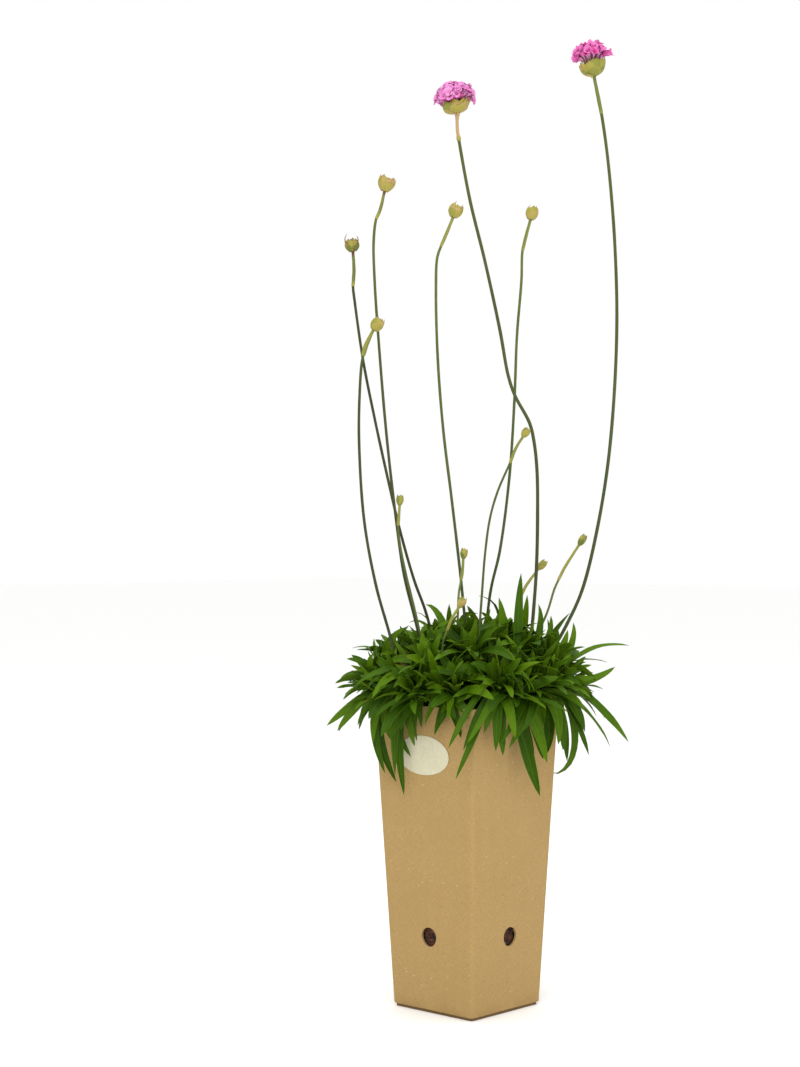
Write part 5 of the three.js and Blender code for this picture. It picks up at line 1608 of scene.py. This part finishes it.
LEAF_SHARES = np.array([0.3, 0.45, 0.6, 0.75, 0.9, 1.0])
print("shoots:", len(SHOOTS), "with leaves:", sum(shoot[4] for shoot in SHOOTS))

# %% One leaf of a shoot
def shoot_leaf(base, axis, index, count, longest, key, attempt):
    age = 1 - (index + 0.5) / count
    turn = index * GOLDEN_TURN + between(-0.5, 0.5, key, attempt, 1)
    first = unit(np.cross(axis, [0.9, 0.3, 0.1]))
    side = first * math.cos(turn) + np.cross(axis, first) * math.sin(turn)
    lean = math.radians(10 + 66 * age + between(-12, 12, key, attempt, 2))
    length = longest * (0.62 + 0.38 * age) * between(0.82, 1.12, key, attempt, 3)
    sag = UP * length * (0.02 + 0.16 * age) * between(0.3, 1.6, key, attempt, 4)

    def ray(angle):
        return side * math.sin(angle) + axis * math.cos(angle)

    root = base + side * 1.2
    lean_point = root + ray(lean * 0.55) * length * 0.36
    bend = lean_point + ray(lean * 1.05) * length * 0.36 - sag * 0.3
    tip = bend + ray(lean * 1.15 + math.radians(between(-8, 22, key, attempt, 5))) * length * 0.34 - sag
    chord = unit(tip - root)
    level = unit(np.cross(axis, side))
    roll = math.radians(between(-35, 35, key, attempt, 6))
    level = level * math.cos(roll) + np.cross(chord, level) * math.sin(roll)
    width = between(4.4, 7.0, key, attempt, 7)
    return {"run": (root, lean_point, bend, tip), "side": level, "width": width, "age": age}


print("heart of the cushion:", CUSHION_HEART.round(1))

# %% Room for the leaves of a shoot
def in_pot(points):
    reach = np.abs(points[:, :2]).max(axis=1)
    return (reach < POT_TOP_SIDE / 2 + 2) & (points[:, 2] < POT_HEIGHT + 1.5)


def shoot_leaves(shoot, key, taken, stems, lowest=0):
    """Leaves of one shoot. taken holds points along the leaves that stand already."""
    number, across, towards, up, count, longest = shoot
    base = at(across, towards, up)
    axis = unit(unit(base - CUSHION_HEART) * 0.75 + UP * 0.35)
    leaves = []
    for index in range(count):
        best, best_room = None, 0
        for attempt in range(SHOOT_TRIES):
            leaf = shoot_leaf(base, axis, index, count, longest, key * 50 + index, attempt)
            line = bezier(*leaf["run"], LEAF_SHARES)[0]
            if in_pot(line).any() or line[:, 2].min() < lowest:
                continue
            if np.linalg.norm(stems[None] - line[:, None], axis=2).min() < leaf["width"] * 0.4 + STEM_SPARE:
                continue
            room = np.linalg.norm(taken[None] - line[:, None], axis=2).min()
            if room > best_room:
                best, best_room = leaf, room
        if best is not None:
            leaves.append(best)
            taken = np.concatenate([taken, bezier(*best["run"], LEAF_SHARES)[0]])
    return leaves, taken


print("tries for each leaf:", SHOOT_TRIES)

# %% Grow all shoots
def all_shoots():
    stems = np.concatenate([catmull_rom([*stem_points(stalk), on_stalk(stalk, stalk["middle"])], 2.0)
                            for stalk in STALKS + YOUNG_BUDS])
    stems = stems[stems[:, 2] < CUSHION_TOP]
    taken = np.concatenate([bezier(*leaf["run"], LEAF_SHARES)[0]
                            for leaves in found_leaves.values() for leaf in leaves])
    grown = {number: [] for number in found_leaves}
    for key, shoot in enumerate(SHOOTS):
        leaves, taken = shoot_leaves(shoot, BRANCH_KEY + key, taken, stems)
        grown[shoot[0]].append((shoot, leaves))
    for number, (across, towards, crown, _, reach) in enumerate(ROSETTES, 1):
        longest = reach * (1.15 if crown > MIDDLE_CROWN else 0.92)
        crown_shoot = (number, across, towards, crown, CROWN_LEAVES, longest)
        leaves, taken = shoot_leaves(crown_shoot, CROWN_KEY + number, taken, stems, LOWEST_CROWN_LEAF)
        found_leaves[number].extend(leaves)
    return grown


shoots = all_shoots()
print("shoot leaves:", sum(len(leaves) for branches in shoots.values() for _, leaves in branches),
      "crown leaves:", sum(len(leaves) for leaves in found_leaves.values()))

# %% [markdown]
# ## Leaves
# An armeria leaf is a narrow tongue, folded a little along its midrib, with a thin pale edge. It could be a
# strip of six squares with a drawn rib, but up close the fold and the edge would be flat. So each blade is a
# sheet with nine points across: close together at the midrib and at both edges, where the form changes.
# Short inner leaves fill the hearts of the rosettes, as they do on the living plant.

# %% Blades
LEAF_COLUMNS = np.array([1, 0.9, 0.55, 0.13, 0, -0.13, -0.55, -0.9, -1])
LEAF_ROWS = 15
FILL_LEAVES = 5
BRANCH_RADIUS = 1.7
SIDE_LEAVES_FROM = 100
LEAVES_PER_SHOOT = 50
FILL_LEAVES_FROM = 500


def leaf_thickness(s, t):
    rib = 0.3 * np.exp(-(s / 0.16) ** 2) * (1 - t)
    return (0.54 - 0.32 * np.abs(s)) * (1 - 0.45 * t) + rib


print("thickness from midrib to edge:", leaf_thickness(LEAF_COLUMNS[4:], 0.5).round(2), "mm")

# %% One blade
def even_run(run, shares):
    """Points and directions at shares of a leaf's length, and that length."""
    fine = np.linspace(0, 1, 41)
    line = bezier(*run, fine)[0]
    steps = np.append(0, np.cumsum(np.linalg.norm(np.diff(line, axis=0), axis=1)))
    place, along = bezier(*run, np.interp(shares * steps[-1], steps, fine))
    return place, along, steps[-1]


def add_leaf(form, leaf, key):
    seed = draw(key, 11)
    wave = between(0.1, 0.5, key, 12)
    twist = math.radians(between(-35, 35, key, 13))
    spread = between(0.6, 1.2, key, 14)
    sideways = between(-2.4, 2.4, key, 17)

    def surface(s, t):
        shares = t[:, 0] ** 0.85
        place, run, length = even_run(leaf["run"], shares)
        flat = leaf["side"] - run * (run @ leaf["side"])[:, None]
        flat /= np.linalg.norm(flat, axis=1)[:, None]
        face = np.cross(run, flat)
        place = place + flat * (sideways * length / 50 * np.sin(np.pi * 1.25 * shares) * shares)[:, None]
        turn = (twist * shares ** 1.5)[:, None]
        flat, face = flat * np.cos(turn) + face * np.sin(turn), face * np.cos(turn) - flat * np.sin(turn)
        bulge = np.clip(np.sin(np.pi * shares ** BLADE_FRONT), 0, 1) ** BLADE_FULLNESS
        half = leaf["width"] / 2 * (NECK * (1 - shares) + (1 - NECK * 0.4) * bulge) + 0.06
        lift = half[:, None] * math.sin(CHANNEL) * spread * np.abs(s) ** 1.2
        lift = lift + wave * np.sin(t * 15 + seed * 40 + s) * np.abs(s) ** 3 * bulge[:, None]
        out = half[:, None] * math.cos(CHANNEL) * s
        return place[:, None] + flat[:, None] * out[..., None] + face[:, None] * lift[..., None]

    tone = clamp(between(0, 1, key, 15) * 0.75 + (1 - leaf["age"]) * 0.35, 0, 1)
    dry = 1.0 if draw(key, 16) < 0.06 * leaf["age"] else 0.0
    add_sheet(form, surface, LEAF_ROWS, LEAF_COLUMNS, leaf_thickness, seed, (0, tone, dry), (1, tone, dry))


print("points of a blade:", 2 * LEAF_ROWS * len(LEAF_COLUMNS))

# %% Crowns and branches
def add_crown(form, number):
    across, towards, crown = ROSETTES[number - 1][:3]
    heights = np.array([184.5, 193, 199, crown - 2, crown + 1, crown + 2])
    path = np.array([at(across, towards, height) for height in heights])
    radii = np.array([1, 1, 0.95, 0.86, 0.5, 0.12]) * CROWN_RADIUS
    add_tube(form, path, radii, 14, (1, 0.2, 1), seed=draw(number, 17))


def add_branch(form, number, shoot):
    """The woody branch from a rosette's crown to the heart of a side shoot."""
    foot_across, foot_towards, crown = ROSETTES[number - 1][:3]
    foot = at(foot_across, foot_towards, crown - 3)
    end = at(*shoot[1:4])
    out = unit(end - CUSHION_HEART)
    path = bezier(foot, foot + UP * 7, end - out * 6, end + out * 1.5, np.linspace(0, 1, 8))[0]
    radii = BRANCH_RADIUS * np.array([1.1, 1, 1, 0.95, 0.95, 1.0, 0.9, 0.3])
    add_tube(form, path, radii, 8, (1, 0.2, 1))


print("branches:", sum(len(branches) for branches in shoots.values()))

# %% [markdown]
# ## Leaf colours
# The leaves are deep green and lighter while they are young, with a light midrib and edge and a few dry
# tips. One green for all would make a dull cushion. So each leaf carries its own tone, and its veins are
# noise that is stretched along it.

# %% Leaf green
def leaf_material():
    material, tree, spot_vector, spot, look = sheet_material("armeria_leaf", 0.5, Specular_IOR_Level=0.07)
    side = math_node(tree, "ABSOLUTE", spot["X"])
    veins = streaks(tree, spot_vector, 9, 3.5)
    tone = math_node(tree, "MULTIPLY_ADD", mottle(tree, 260), 0.6, look["Y"])
    tone = math_node(tree, "MULTIPLY_ADD", spot["Y"], 0.35, tone)
    green = mix_colour(tree, ramp(tree, tone, 0.3, 0.85), paint("1a3202"), paint("2f4e04"))
    green = over(tree, green, ramp(tree, tone, 0.85, 1.6), "527208")
    green = over(tree, green, ramp(tree, veins, 0.45, 0.7), "48660c", 0.2)
    green = over(tree, green, ramp(tree, spot["Y"], 0.16, 0.0), "56642c", 0.5)
    green = over(tree, green, look["X"], "46600e", 0.45)
    green = over(tree, green, ramp(tree, side, 0.1, 0.02), "628018", 0.25)
    green = over(tree, green, ramp(tree, side, 0.88, 0.98), "6a8620", 0.25)
    green = over(tree, green, look["Z"], "76521f", ramp(tree, spot["Y"], 0.92, 0.99))
    dull = math_node(tree, "MULTIPLY_ADD", look["X"], 0.14, 0.46)
    tree.links.new(dull, tree.nodes["Principled BSDF"].inputs["Roughness"])
    return finish_material(material, green, veins, 0.3, 0.0004)


LEAF = leaf_material()
print("material:", LEAF.name, "nodes:", len(LEAF.node_tree.nodes))

# %% Build the rosettes
for number in range(1, len(ROSETTES) + 1):
    rosette = Form()
    add_crown(rosette, number)
    for i, leaf in enumerate(found_leaves[number]):
        add_leaf(rosette, leaf, number * 1000 + i)
    for i, (shoot, leaves) in enumerate(shoots[number]):
        add_branch(rosette, number, shoot)
        for k, leaf in enumerate(leaves):
            add_leaf(rosette, leaf, number * 1000 + SIDE_LEAVES_FROM + i * LEAVES_PER_SHOOT + k)
    for i in range(FILL_LEAVES):
        inner = grown_leaf(number, i % ROSETTES[number - 1][3], 20 + i, between(0.5, 0.9, number, i, 18))
        inner["width"] = slim(inner["width"]) * between(0.6, 0.9, number, i, 19)
        add_leaf(rosette, inner, number * 1000 + FILL_LEAVES_FROM + i)
    piece = rosette.build(f"leaves_{number:02d}", LEAF, "leaf", f"rosette_{number:02d}")
    print(piece.name, "faces:", len(piece.data.polygons), end="; ")
print()
